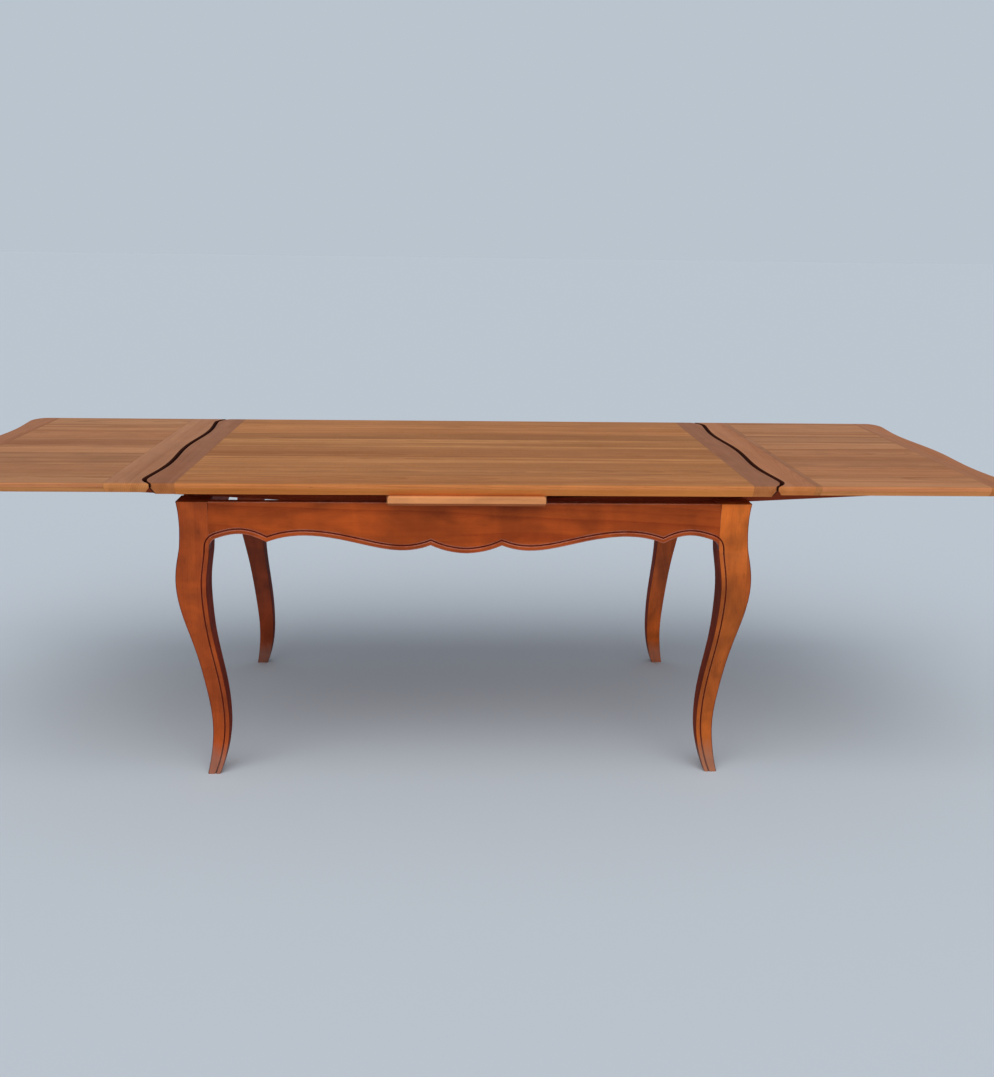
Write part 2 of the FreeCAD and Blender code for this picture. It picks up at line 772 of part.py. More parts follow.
def make_leaf(side, loper_y, place):
    """Write one leaf with its lopers; place puts a right-hand piece at its own end."""
    panel, inner, outer = split_leaf(right_leaf())
    screws = []
    for y_mid, where in ((-loper_y, "front"), (loper_y, "rear")):
        loper = right_loper(y_mid).cut(stop_pin(y_mid))
        for x in loper_screw_places():
            hole = loper_screw_hole(x, y_mid)
            loper = loper.cut(hole)
            panel = panel.cut(hole)
            inner = inner.cut(hole)
            screws.append(place(loper_screw(x, y_mid)))
        save(place(loper), "%s_leaf_%s_loper" % (side, where))
    save(place(panel), side + "_leaf_panel")
    save(place(inner), side + "_leaf_inner_breadboard")
    save(place(outer), side + "_leaf_outer_breadboard")
    save(Part.makeCompound(screws), side + "_loper_screws")
    pins = [place(stop_pin(y)) for y in (-loper_y, loper_y)]
    save(Part.makeCompound(pins), side + "_loper_stop_pins")


def main():
    """Write every sub-part."""
    os.makedirs("parts", exist_ok=True)
    make_frame()
    make_top()
    make_leaf("right", loper_outer_y, lambda shape: shape)
    make_leaf("left", loper_inner_y, mirror_x)
    print("leaf travel %.3f along, %.3f down" % (travel_x, travel_drop))


main()
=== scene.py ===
"""Dresses a draw leaf table in satin varnished cherry and stands it in plain soft light.

Metres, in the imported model's own frame: X along the table, Y towards its rear, Z up.
"""

import logging
import math
from dataclasses import dataclass, field
from enum import Enum
from typing import Optional, Union

import bmesh
import bpy
from mathutils import Matrix, Vector


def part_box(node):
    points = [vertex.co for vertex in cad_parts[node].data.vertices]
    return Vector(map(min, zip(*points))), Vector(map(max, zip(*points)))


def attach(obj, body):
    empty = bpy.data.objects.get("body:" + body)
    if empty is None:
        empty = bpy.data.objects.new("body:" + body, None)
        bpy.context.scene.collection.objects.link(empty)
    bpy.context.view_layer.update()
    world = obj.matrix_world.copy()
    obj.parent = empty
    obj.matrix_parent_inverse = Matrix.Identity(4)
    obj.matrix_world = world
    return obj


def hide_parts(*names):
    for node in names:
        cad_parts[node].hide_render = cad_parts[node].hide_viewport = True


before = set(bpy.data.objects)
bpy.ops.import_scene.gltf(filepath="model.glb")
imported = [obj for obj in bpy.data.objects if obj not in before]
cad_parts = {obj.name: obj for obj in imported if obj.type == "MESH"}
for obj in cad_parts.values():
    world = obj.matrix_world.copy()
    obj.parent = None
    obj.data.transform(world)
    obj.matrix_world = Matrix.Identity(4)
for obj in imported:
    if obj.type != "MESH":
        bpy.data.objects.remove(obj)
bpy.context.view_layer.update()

PICTURE_LONG_SIDE = 1077
OPEN_JOINT = 0.742

log = logging.getLogger("draw_leaf_table")

Colour = tuple[float, float, float]
Socket = bpy.types.NodeSocket
Outputs = bpy.types.NodeOutputs
Value = Union[float, int, tuple, Vector, Socket]
Ends = tuple[Vector, Vector]

WHITE: Colour = (1.0, 1.0, 1.0)


class Grain(Enum):
    """The way the grain runs in a piece."""

    ALONG = "x"
    ACROSS = "y"
    UPRIGHT = "z"


# ---------------------------------------------------------------- wiring of nodes
@dataclass(frozen=True)
class Wiring:
    """Adds nodes to one shader or geometry node tree and joins them up."""

    tree: bpy.types.NodeTree

    def add(self, kind: str, **settings: object) -> bpy.types.Node:
        """Add one node.

        Args:
            kind: The node's type name.
            settings: Attributes to set on it.

        Returns:
            The new node.
        """
        node = self.tree.nodes.new(kind)
        for name, value in settings.items():
            setattr(node, name, value)
        return node

    def feed(self, socket: Socket, value: Value) -> None:
        """Give a socket a link or a constant.

        Args:
            socket: The input to feed.
            value: Another node's output, or a plain value.
        """
        if isinstance(value, Socket):
            self.tree.links.new(value, socket)
        elif socket.type == "RGBA" and len(value) == 3:
            socket.default_value = (*value, 1.0)
        else:
            socket.default_value = value

    def math(self, operation: str, *values: Value, clamp: bool = False) -> Socket:
        """Work out one number.

        Args:
            operation: The Math node's operation.
            values: One to three inputs.
            clamp: Whether the result is kept from 0 to 1.

        Returns:
            The result's socket.
        """
        node = self.add("ShaderNodeMath", operation=operation, use_clamp=clamp)
        for socket, value in zip(node.inputs, values):
            self.feed(socket, value)
        return node.outputs[0]

    def times(self, first: Value, second: Value) -> Socket:
        """Return the product of two numbers."""
        return self.math("MULTIPLY", first, second)

    def minus(self, first: Value, second: Value) -> Socket:
        """Return the first number less the second."""
        return self.math("SUBTRACT", first, second)

    def vector(self, operation: str, *values: Value) -> Socket:
        """Work out one vector.

        Args:
            operation: The Vector Math node's operation.
            values: Its inputs.

        Returns:
            The result's socket.
        """
        node = self.add("ShaderNodeVectorMath", operation=operation)
        for socket, value in zip(node.inputs, values):
            self.feed(socket, value)
        return node.outputs["Value" if operation == "DOT_PRODUCT" else "Vector"]

    def scale(self, vector: Value, factor: Value) -> Socket:
        """Multiply a vector or a colour by a number.

        Args:
            vector: The vector or colour.
            factor: The number.

        Returns:
            The result's socket.
        """
        node = self.add("ShaderNodeVectorMath", operation="SCALE")
        self.feed(node.inputs[0], vector)
        self.feed(node.inputs["Scale"], factor)
        return node.outputs["Vector"]

    def split(self, vector: Value) -> Outputs:
        """Take a vector apart.

        Args:
            vector: The vector.

        Returns:
            The sockets of its X, Y and Z.
        """
        node = self.add("ShaderNodeSeparateXYZ")
        self.feed(node.inputs[0], vector)
        return node.outputs

    def join(self, x: Value = 0.0, y: Value = 0.0, z: Value = 0.0) -> Socket:
        """Make a vector of three numbers.

        Args:
            x: Its X.
            y: Its Y.
            z: Its Z.

        Returns:
            The vector's socket.
        """
        node = self.add("ShaderNodeCombineXYZ")
        for socket, part in zip(node.inputs, (x, y, z)):
            self.feed(socket, part)
        return node.outputs[0]

    def noise(self, vector: Value, scale: tuple[float, float, float], detail: float = 2.0,
              roughness: float = 0.5, distortion: float = 0.0) -> Socket:
        """Sample noise that may be stretched.

        Args:
            vector: Where to sample.
            scale: Cycles per metre along each axis.
            detail: Octaves.
            roughness: Strength of the finer octaves.
            distortion: How far it is bent.

        Returns:
            The noise's value, about 0.5.
        """
        node = self.add("ShaderNodeTexNoise")
        self.feed(node.inputs["Vector"], self.vector("MULTIPLY", vector, scale))
        node.inputs["Scale"].default_value = 1.0
        node.inputs["Detail"].default_value = detail
        node.inputs["Roughness"].default_value = roughness
        node.inputs["Distortion"].default_value = distortion
        return node.outputs["Fac"]

    def remap(self, value: Value, low: Value, high: Value, to_low: Value = 0.0, to_high: Value = 1.0,
              smooth: bool = True) -> Socket:
        """Map one range onto another and clamp it.

        Args:
            value: The number to map.
            low: Start of its range.
            high: End of its range.
            to_low: What the start becomes.
            to_high: What the end becomes.
            smooth: Whether the step is eased.

        Returns:
            The mapped number.
        """
        node = self.add("ShaderNodeMapRange", interpolation_type="SMOOTHSTEP" if smooth else "LINEAR")
        for name, item in (("Value", value), ("From Min", low), ("From Max", high),
                           ("To Min", to_low), ("To Max", to_high)):
            self.feed(node.inputs[name], item)
        return node.outputs["Result"]

    def mix(self, factor: Value, first: Value, second: Value) -> Socket:
        """Mix two colours.

        Args:
            factor: How much of the second.
            first: A colour.
            second: A colour.

        Returns:
            The mixed colour.
        """
        node = self.add("ShaderNodeMix", data_type="RGBA")
        self.feed(node.inputs["Factor"], factor)
        colours = [socket for socket in node.inputs if socket.type == "RGBA"]
        for socket, colour in zip(colours, (first, second)):
            self.feed(socket, colour)
        return next(socket for socket in node.outputs if socket.type == "RGBA")

    def bump(self, height: Value, strength: float, depth: float, normal: Optional[Value] = None
             ) -> Socket:
        """Turn a height into a normal.

        Args:
            height: The height, from 0 to 1.
            strength: How much of it shows.
            depth: The relief that a height of 1 stands for, in metres.
            normal: The normal that it is laid on, if not the face's own.

        Returns:
            The normal.
        """
        node = self.add("ShaderNodeBump")
        node.inputs["Strength"].default_value = strength
        node.inputs["Distance"].default_value = depth
        self.feed(node.inputs["Height"], height)
        if normal is not None:
            self.feed(node.inputs["Normal"], normal)
        return node.outputs[0]

    def surface(self, colour: Value, roughness: Value, normal: Value) -> bpy.types.NodeInputs:
        """End a material in a Principled BSDF.

        Args:
            colour: The base colour.
            roughness: How dull it is.
            normal: Its normal.

        Returns:
            The shader's inputs, for what only some finishes set.
        """
        shader = self.add("ShaderNodeBsdfPrincipled")
        for name, value in (("Base Color", colour), ("Roughness", roughness), ("Normal", normal)):
            self.feed(shader.inputs[name], value)
        self.feed(self.add("ShaderNodeOutputMaterial").inputs["Surface"], shader.outputs[0])
        return shader.inputs


def empty_material(name: str, colour: Colour) -> tuple[bpy.types.Material, Wiring]:
    """Start a material that has no nodes yet.

    Args:
        name: Its name.
        colour: Its colour in plain views.

    Returns:
        The material and the wiring on its tree.
    """
    material = bpy.data.materials.new(name)
    material.use_nodes = True
    material.diffuse_color = (*colour, 1.0)
    w = Wiring(material.node_tree)
    w.tree.nodes.clear()
    return material, w


def stand(name: str, data: bpy.types.ID) -> bpy.types.Object:
    """Put some data in the scene as an object.

    Args:
        name: The object's name.
        data: A mesh, a light or a camera.

    Returns:
        The object, at the origin.
    """
    item = bpy.data.objects.new(name, data)
    bpy.context.scene.collection.objects.link(item)
    return item


FLOAT, VECTOR, COLOUR = "NodeSocketFloat", "NodeSocketVector", "NodeSocketColor"
NOWHERE = (0.0, 0.0, 0.0)


class Effect:
    """A shader node group that several finishes share; the kind of a socket follows from its default."""

    title: str = ""
    inputs: dict[str, Union[float, tuple[float, ...]]] = {}

    def __init__(self) -> None:
        """Make the group, its sockets and what is between them."""
        self.group = bpy.data.node_groups.new(self.title, "ShaderNodeTree")
        sockets = self.group.interface
        for name, default in self.inputs.items():
            kind = FLOAT if isinstance(default, float) else VECTOR if len(default) == 3 else COLOUR
            sockets.new_socket(name, in_out="INPUT", socket_type=kind).default_value = default
        wires = Wiring(self.group)
        found = self.fill(wires, wires.add("NodeGroupInput").outputs)
        for name, socket in found.items():
            kind = {"VALUE": FLOAT, "VECTOR": VECTOR, "RGBA": COLOUR}[socket.type]
            sockets.new_socket(name, in_out="OUTPUT", socket_type=kind)
        result = wires.add("NodeGroupOutput").inputs
        for name, socket in found.items():
            wires.feed(result[name], socket)

    def fill(self, w: Wiring, given: Outputs) -> dict[str, Socket]:
        """Build the inside of the group.

        Args:
            w: Wiring on the group.
            given: The group's inputs.

        Returns:
            A socket for each output by name.
        """
        raise NotImplementedError

    def place(self, w: Wiring, **values: Value) -> Outputs:
        """Put the group in a material.

        Args:
            w: Wiring on the material.
            values: Inputs by name, with _ for a space.

        Returns:
            The outputs of the placed group.
        """
        node = w.add("ShaderNodeGroup", node_tree=self.group)
        for name, value in values.items():
            w.feed(node.inputs[name.replace("_", " ")], value)
        return node.outputs


class SawnTimber(Effect):
    """Growth rings, streaks, pores and staves of sawn timber; X of its vector runs along the grain."""

    title = "sawn timber"
    far = 37.0
    uneven_staves = 0.16
    late_wood = 2.2
    glue_line = (0.0002, 0.0007)
    inputs = {"Vector": NOWHERE, "Stave Width": 0.13, "Ring Width": 0.004, "Pith Depth": 0.06,
              "Taper": 0.08, "Wander": 0.008, "Seed": 0.0}

    def fill(self, w: Wiring, given: Outputs) -> dict[str, Socket]:
        """Build the rings about each stave's own wandering pith, and the finer marks over them.

        Args:
            w: Wiring on the group.
            given: The group's inputs.

        Returns:
            The masks by name.
        """
        along, across, deep = w.split(given["Vector"])

        # each stave has its own pith, tone and hue
        row = w.math("DIVIDE", across, given["Stave Width"])
        bend = w.times(w.math("SINE", w.math("MULTIPLY_ADD", row, 2.3, given["Seed"])), self.uneven_staves)
        row = w.math("ADD", row, bend)
        stave = w.math("FLOOR", row)
        chance = w.add("ShaderNodeTexWhiteNoise", noise_dimensions="3D")
        w.feed(chance.inputs["Vector"], w.join(stave, given["Seed"]))
        pick = w.add("ShaderNodeSeparateColor")
        w.feed(pick.inputs[0], chance.outputs["Color"])
        side, depth, lean = pick.outputs

        # a stave's pattern is moved far from its neighbour's
        local = w.vector("ADD", given["Vector"], w.scale(chance.outputs["Color"], self.far))
        drift = w.minus(w.noise(local, (1.1, 5.0, 5.0), 3.0), 0.5)
        drift_deep = w.minus(w.noise(local, (0.7, 3.0, 4.0), 2.0), 0.5)

        inside = w.times(w.minus(w.math("FRACT", row), 0.5), given["Stave Width"])
        pith_side = w.times(w.minus(side, 0.5), given["Stave Width"])
        from_side = w.math("MULTIPLY_ADD", drift, given["Wander"], w.minus(inside, pith_side))
        pith_deep = w.times(w.math("ADD", depth, 0.35), given["Pith Depth"])
        fall = w.times(w.times(w.minus(lean, 0.5), given["Taper"]), along)
        sway = w.times(w.times(drift_deep, given["Wander"]), 6.0)
        from_pith = w.math("ADD", w.math("ADD", w.math("ADD", deep, pith_deep), fall), sway)
        square = w.math("MULTIPLY_ADD", from_side, from_side, w.times(from_pith, from_pith))
        rings_out = w.math("DIVIDE", w.math("SQRT", square), given["Ring Width"])
        year = w.math("ADD", rings_out, w.noise(local, (2.0, 30.0, 30.0), 2.0))
        part = w.math("FRACT", year)
        late = w.times(w.math("POWER", part, self.late_wood), w.remap(part, 0.86, 1.0, 1.0, 0.0))
        fat = w.add("ShaderNodeTexWhiteNoise", noise_dimensions="1D")
        w.feed(fat.inputs["W"], w.math("FLOOR", year))
        rings = w.times(late, w.remap(fat.outputs["Value"], 0.0, 1.0, 0.45, 1.25, smooth=False))

        broad = w.remap(w.noise(local, (0.5, 11.0, 11.0), 3.0, 0.5), 0.38, 0.62)
        narrow = w.remap(w.noise(local, (1.2, 38.0, 38.0), 3.0, 0.6), 0.38, 0.66)
        streaks = w.math("MULTIPLY_ADD", narrow, 0.5, w.times(broad, 0.5))
        fibres = w.noise(local, (9.0, 520.0, 520.0), 2.0, 0.6)
        pores = w.remap(w.noise(local, (60.0, 1500.0, 1500.0), 1.0), 0.62, 0.74)
        pores = w.times(pores, w.remap(rings, 0.0, 0.5, 0.35, 1.0))
        flecks = w.remap(w.noise(local, (26.0, 300.0, 300.0), 2.0), 0.60, 0.72)
        flecks = w.times(flecks, w.remap(w.noise(local, (5.0, 12.0, 12.0), 1.0), 0.42, 0.62))
        figure = w.noise(local, (13.0, 5.0, 5.0), 2.0, 0.5, 0.8)
        blotches = w.noise(local, (5.5, 13.0, 13.0), 3.0, 0.5, 1.6)
        off_middle = w.math("ABSOLUTE", w.minus(w.math("FRACT", row), 0.5))
        edge = w.times(w.minus(0.5, off_middle), given["Stave Width"])
        tone = w.minus(chance.outputs["Value"], 0.5)
        hue = w.minus(lean, 0.5)
        return {"Rings": rings, "Streaks": streaks, "Fibres": fibres, "Pores": pores, "Flecks": flecks,
                "Tone": tone, "Hue": hue, "Figure": figure, "Blotches": blotches,
                "Glue Lines": w.remap(edge, *self.glue_line, 1.0, 0.0)}


class StainedColour(Effect):
    """Turns the marks of the timber into its stained colour and the height of its surface."""

    title = "stained colour"
    inputs = {"Rings": 0.0, "Streaks": 0.0, "Fibres": 0.0, "Pores": 0.0, "Flecks": 0.0, "Tone": 0.0,
              "Hue": 0.0, "Figure": 0.5, "Blotches": 0.5, "Glue Lines": 0.0, "Pale": (0.5, 0.3, 0.2, 1.0),
              "Dark": (0.3, 0.1, 0.05, 1.0), "Red": (0.4, 0.12, 0.05, 1.0), "Ring Strength": 0.5,
              "Streak Strength": 0.5, "Tone Strength": 0.2, "Hue Strength": 0.3, "Figure Strength": 0.1,
              "Blotch Strength": 0.2, "Pore Strength": 0.5, "Fleck Strength": 0.0}
    pore: Colour = (0.03, 0.008, 0.004)
    pore_dark = 0.72
    fibre_share = 0.35

    def fill(self, w: Wiring, given: Outputs) -> dict[str, Socket]:
        """Mix the stain by the marks and shade it from stave to stave.

        Args:
            w: Wiring on the group.
            given: The group's inputs.

        Returns:
            The colour and the height.
        """
        depth = w.times(given["Rings"], given["Ring Strength"])
        depth = w.math("MULTIPLY_ADD", given["Streaks"], given["Streak Strength"], depth)
        fine = w.times(w.minus(given["Fibres"], 0.5), self.fibre_share)
        depth = w.math("ADD", depth, fine, clamp=True)
        colour = w.mix(depth, given["Pale"], given["Dark"])
        warm = w.math("MULTIPLY", w.math("ADD", given["Hue"], 0.5), given["Hue Strength"], clamp=True)
        colour = w.mix(warm, colour, given["Red"])
        light = w.math("MULTIPLY_ADD", given["Tone"], given["Tone Strength"], 1.0)
        glow = w.times(w.minus(given["Figure"], 0.5), given["Figure Strength"])
        patch = w.times(w.minus(given["Blotches"], 0.5), given["Blotch Strength"])
        light = w.math("ADD", w.math("ADD", light, glow), patch)
        colour = w.scale(colour, light)
        fine_marks = w.math("MAXIMUM", given["Pores"], given["Glue Lines"])
        fine_marks = w.times(fine_marks, given["Pore Strength"])
        deep = w.math("MULTIPLY_ADD", given["Flecks"], given["Fleck Strength"], fine_marks, clamp=True)
        colour = w.mix(deep, colour, w.mix(self.pore_dark, colour, self.pore))
        height = w.math("MULTIPLY_ADD", given["Fibres"], 0.25, w.times(given["Rings"], 0.12))
        height = w.minus(height, w.times(deep, 0.6))
        return {"Color": colour, "Height": height}


class RubbedAndHighlitEdges(Effect):
    """Where hands and chairs have rubbed the arrises and scuffed the varnish; the same arris mask also paints
    a highlight along the edges.
    """

    title = "rubbed edges"
    inputs = {"Vector": NOWHERE, "Radius": 0.003, "Open Ways": (1.0, 1.0, 1.0)}
    flat_to_square = (0.995, 0.86)

    def fill(self, w: Wiring, given: Outputs) -> dict[str, Socket]:
        """Compare the true normal with one that is bent round the edges.

        Args:
            w: Wiring on the group.
            given: The group's inputs.

        Returns:
            The masks and the bent normal by name.
        """
        bent = w.add("ShaderNodeBevel", samples=4)
        w.feed(bent.inputs["Radius"], given["Radius"])
        open_bend = w.vector("NORMALIZE", w.vector("MULTIPLY", bent.outputs[0], given["Open Ways"]))
        true = w.add("ShaderNodeNewGeometry")
        agree = w.vector("DOT_PRODUCT", open_bend, true.outputs["Normal"])
        rub_and_highlight = w.remap(agree, *self.flat_to_square)
        patchy = w.remap(w.noise(given["Vector"], (22.0, 22.0, 22.0), 4.0, 0.6), 0.35, 0.62, 0.35, 1.0)
        coarse = w.noise(given["Vector"], (7.0, 7.0, 7.0), 5.0, 0.65)
        fine = w.noise(given["Vector"], (160.0, 24.0, 160.0), 3.0, 0.6)
        scuff = w.times(w.remap(coarse, 0.42, 0.68), w.remap(fine, 0.4, 0.7))
        return {"Rub": w.times(rub_and_highlight, patchy), "Scuff": scuff, "Normal": open_bend}


class HollowShade(Effect):
    """Painted shade in grooves and inner corners, where little light reaches."""

    title = "hollows"
    inputs = {"Vector": NOWHERE}
    reach = 0.009
    open_to_hollow = (0.96, 0.74)

    def fill(self, w: Wiring, given: Outputs) -> dict[str, Socket]:
        """Measure how much of the near surroundings stands above a place.

        Args:
            w: Wiring on the group.
            given: The group's inputs.

        Returns:
            The mask.
        """
        near = w.add("ShaderNodeAmbientOcclusion", samples=6, only_local=True)
        near.inputs["Distance"].default_value = self.reach
        hollow_shade = w.remap(near.outputs["AO"], *self.open_to_hollow)
        uneven = w.remap(w.noise(given["Vector"], (30.0, 30.0, 30.0), 3.0), 0.3, 0.6, 0.85, 1.0)
        return {"Hollow": w.times(hollow_shade, uneven)}


class FaceTurn(Effect):
    """Tells upright, slanting, downward and endways faces apart, so that finishes can paint light and shade
    by the way a face looks.
    """

    title = "face turn"

    def fill(self, w: Wiring, given: Outputs) -> dict[str, Socket]:
        """Read the way the face looks.

        Args:
            w: Wiring on the group.
            given: The group's inputs; not used.

        Returns:
            The masks by name.
        """
        along, _, up = w.split(w.add("ShaderNodeNewGeometry").outputs["Normal"])
        return {"Upright": w.remap(w.math("ABSOLUTE", up), 0.9, 0.4), "Slant": w.remap(up, -0.25, -0.55),
                "Under": w.remap(up, -0.75, -0.95), "Endways": w.remap(w.math("ABSOLUTE", along), 0.45, 0.65)}


class FloorDust(Effect):
    """Dust and mop marks low on the legs."""

    title = "floor dust"
    inputs = {"Vector": NOWHERE, "Height": 0.06}

    def fill(self, w: Wiring, given: Outputs) -> dict[str, Socket]:
        """Fade the dust upwards from the floor.

        Args:
            w: Wiring on the group.
            given: The group's inputs.

        Returns:
            The mask.
        """
        ragged = w.times(w.noise(given["Vector"], (30.0, 30.0, 12.0), 4.0, 0.65), given["Height"])
        above = w.minus(w.split(given["Vector"])[2], ragged)
        return {"Dust": w.remap(above, 0.0, given["Height"], 1.0, 0.0)}


class BoardJoints(Effect):
    """The fine dark line where a panel meets a breadboard end, and the open joint beside the leaves."""

    title = "board joints"
    inputs = {"Vector": NOWHERE, "First": 0.0, "Second": 0.0, "Third": 0.0, "Open": 0.0}
    line = (0.0003, 0.0011)
    open_half = (0.026, 0.03)

    def fill(self, w: Wiring, given: Outputs) -> dict[str, Socket]:
        """Measure how far a place is from the nearest joint.

        Args:
            w: Wiring on the group.
            given: The group's inputs.

        Returns:
            The masks by name.
        """
        out = w.math("ABSOLUTE", w.split(given["Vector"])[0])
        first, second, third, open_joint = (w.math("ABSOLUTE", w.minus(out, given[name]))
                                            for name in ("First", "Second", "Third", "Open"))
        near = w.math("MINIMUM", first, w.math("MINIMUM", second, third))
        return {"Line": w.remap(near, *self.line, 1.0, 0.0),
                "Open Joint": w.remap(open_joint, *self.open_half, 1.0, 0.0)}


class Effects:
    """The shared node groups, built once."""

    def __init__(self) -> None:
        """Build every group."""
        self.timber = SawnTimber()
        self.colour = StainedColour()
        self.edges = RubbedAndHighlitEdges()
        self.hollows = HollowShade()
        self.turn = FaceTurn()
        self.dust = FloorDust()
        self.joints = BoardJoints()


# ---------------------------------------------------------------- finishes
@dataclass(frozen=True)
class VarnishedWood:
    """A stained and varnished timber."""

    name: str
    pale: Colour
    dark: Colour
    red: Colour
    # paler colour of the arrises: rubbed wear and a painted highlight
    worn_and_highlight: Colour
    stave_width: float = 0.13
    ring_width: float = 0.0042
    pith_depth: float = 0.07
    taper: float = 0.10
    ring_strength: float = 0.42
    streak_strength: float = 0.55
    tone_strength: float = 0.22
    hue_strength: float = 0.45
    figure_strength: float = 0.12
    blotch_strength: float = 0.3
    pore_strength: float = 0.55
    fleck_strength: float = 0.0
    # painted light and shade by the way a face looks: upright and slanting faces lighter, endways faces and
    # faces that look down darker
    upright_painted_light: Colour = WHITE
    slant_painted_light: Colour = WHITE
    under_painted_shade: Colour = (0.55, 0.30, 0.26)
    endways_painted_shade: Colour = WHITE
    end_dull: float = 0.0
    # strength of the painted shade in grooves and inner corners
    hollow_shade: float = 0.0
    arris: float = 0.003
    rub_and_highlight: float = 0.35
    butts: bool = False
    dust: float = 0.0
    dusty: Colour = (0.30, 0.26, 0.22)
    # dark red colour of the painted shade in grooves and inner corners
    hollow_shade_colour: Colour = (0.19, 0.018, 0.007)
    joint_line: float = 0.0
    # painted shade in the open joints beside the leaves, on the endways faces there; its near black colour is
    # shared with the fine joint lines
    open_joint_shade: float = 0.95
    joint_grime_and_shade: Colour = (0.03, 0.004, 0.003)
    crown_heights: tuple[float, float] = (0.53, 0.69)
    roughness: float = 0.42
    streak_roughness: float = 0.05
    scuff_roughness: float = 0.12
    dust_roughness: float = 0.35
    dull_roughness: float = 0.4
    coat: float = 0.12
    coat_roughness: float = 0.3
    specular: float = 0.06
    relief: float = 0.00012
    joint_depth: float = 0.5
    bumpiness: float = 0.5

    def marks(self, w: Wiring, effects: Effects, place: Socket, grain: Grain, middle: Vector, seed: float
              ) -> Outputs:
        """Lay the timber's marks along the grain.

        Args:
            w: Wiring on the material.
            effects: The shared node groups.
            place: The place on the piece.
            grain: The way the grain runs.
            middle: The middle of the piece.
            seed: What sets its timber apart.

        Returns:
            The marks by name.
        """
        x, y, z = w.split(w.vector("SUBTRACT", place, tuple(middle)))
        order = {Grain.ALONG: (x, y, z), Grain.ACROSS: (y, x, z), Grain.UPRIGHT: (z, x, y)}[grain]
        return effects.timber.place(w, Vector=w.join(*order), Stave_Width=self.stave_width,
                                    Ring_Width=self.ring_width, Pith_Depth=self.pith_depth,
                                    Taper=self.taper, Seed=seed)

    def stain(self, w: Wiring, effects: Effects, marks: Outputs) -> Outputs:
        """Stain the timber, with the colours and strengths of the fields.

        Args:
            w: Wiring on the material.
            effects: The shared node groups.
            marks: The timber's marks.

        Returns:
            The colour and the height by name.
        """
        # an input that isn't a mark has the name of one of the fields
        passed = {mark.name.replace(" ", "_"): mark for mark in marks}
        for name in (name.replace(" ", "_") for name in effects.colour.inputs):
            if name not in passed:
                passed[name] = getattr(self, name.lower())
        return effects.colour.place(w, **passed)

    def open_ways(self, grain: Grain) -> tuple[float, float, float]:
        """Tell which ways a piece's edges are free to be rubbed and to take the painted highlight.

        Args:
            grain: The way the grain runs, and so where its butted ends are.

        Returns:
            A share for each axis, near 0 along a piece that butts against others.
        """
        shut = 0.01
        if not self.butts:
            return 1.0, 1.0, 1.0
        return (shut, 1.0, 1.0) if grain is Grain.ALONG else (1.0, shut, 1.0)

    def turned(self, w: Wiring, colour: Socket, turn: Outputs, tint: Colour) -> Socket:
        """Paint light and shade into the colour by the way each face looks, then tint the piece.

        Args:
            w: Wiring on the material.
            colour: The colour.
            turn: The masks of the ways that faces look.
            tint: How this piece differs from its neighbours.

        Returns:
            The colour with painted light and shade, tinted.
        """
        # painted light on upright and slanting faces, painted shade on endways faces and on faces that look
        # down
        gain = w.mix(turn["Upright"], WHITE, self.upright_painted_light)
        gain = w.mix(turn["Endways"], gain, self.endways_painted_shade)
        gain = w.mix(turn["Slant"], gain, self.slant_painted_light)
        gain = w.mix(turn["Under"], gain, self.under_painted_shade)
        return w.vector("MULTIPLY", w.vector("MULTIPLY", colour, gain), tint)

    def shade_and_soil(self, w: Wiring, effects: Effects, place: Socket, colour: Socket, turn: Outputs,
             joints: dict[str, float]) -> tuple[Socket, Socket, Value]:
        """Paint shade into grooves, inner corners and open joints, and darken the fine joint lines.

        Args:
            w: Wiring on the material.
            effects: The shared node groups.
            place: The place on the piece.
            colour: The clean colour.
            turn: The masks of the ways that faces look.
            joints: Where the tops' joints are.

        Returns:
            The colour with painted shade and dark joint lines, a mask of how dull it is, and the fine lines
            of the joints.
        """
        dull = w.times(turn["Endways"], self.end_dull)
        line: Value = 0.0
        if self.hollow_shade:
            # painted shade in grooves and inner corners
            hollow_shade = w.times(effects.hollows.place(w, Vector=place)["Hollow"], self.hollow_shade)
            colour = w.mix(hollow_shade, colour, self.hollow_shade_colour)
            dull = w.math("MAXIMUM", dull, hollow_shade)
        if self.joint_line:
            near = effects.joints.place(w, Vector=place, **joints)
            line = near["Line"]
            # painted shade: the endways faces in the open joint are made near black; the fine joint lines are
            # real dark joints
            joint_grime_and_shade = w.times(w.times(near["Open Joint"], turn["Endways"]), self.open_joint_shade)
            joint_grime_and_shade = w.math("MAXIMUM", w.times(line, self.joint_line), joint_grime_and_shade)
            colour = w.mix(joint_grime_and_shade, colour, self.joint_grime_and_shade)
            dull = w.math("MAXIMUM", dull, joint_grime_and_shade)
        return colour, dull, line

    def material(self, effects: Effects, grain: Grain, middle: Vector, seed: float,
                 joints: dict[str, float], tint: Colour = WHITE, crown: float = 0.0) -> bpy.types.Material:
        """Make the finish for one piece.

        Args:
            effects: The shared node groups.
            grain: The way the grain runs.
            middle: The middle of the piece.
            seed: What sets its timber apart from other pieces'.
            joints: Where the tops' joints are.
            tint: How this piece differs from its neighbours.
            crown: How much paler its top end is.

        Returns:
            The material.
        """
        material, w = empty_material("%s_%d" % (self.name, int(seed)), self.pale)
        place = w.add("ShaderNodeTexCoord").outputs["Object"]
        marks = self.marks(w, effects, place, grain, middle, seed)
        stain = self.stain(w, effects, marks)
        wear_and_highlight = effects.edges.place(w, Vector=place, Radius=self.arris, Open_Ways=self.open_ways(grain))
        turn = effects.turn.place(w)
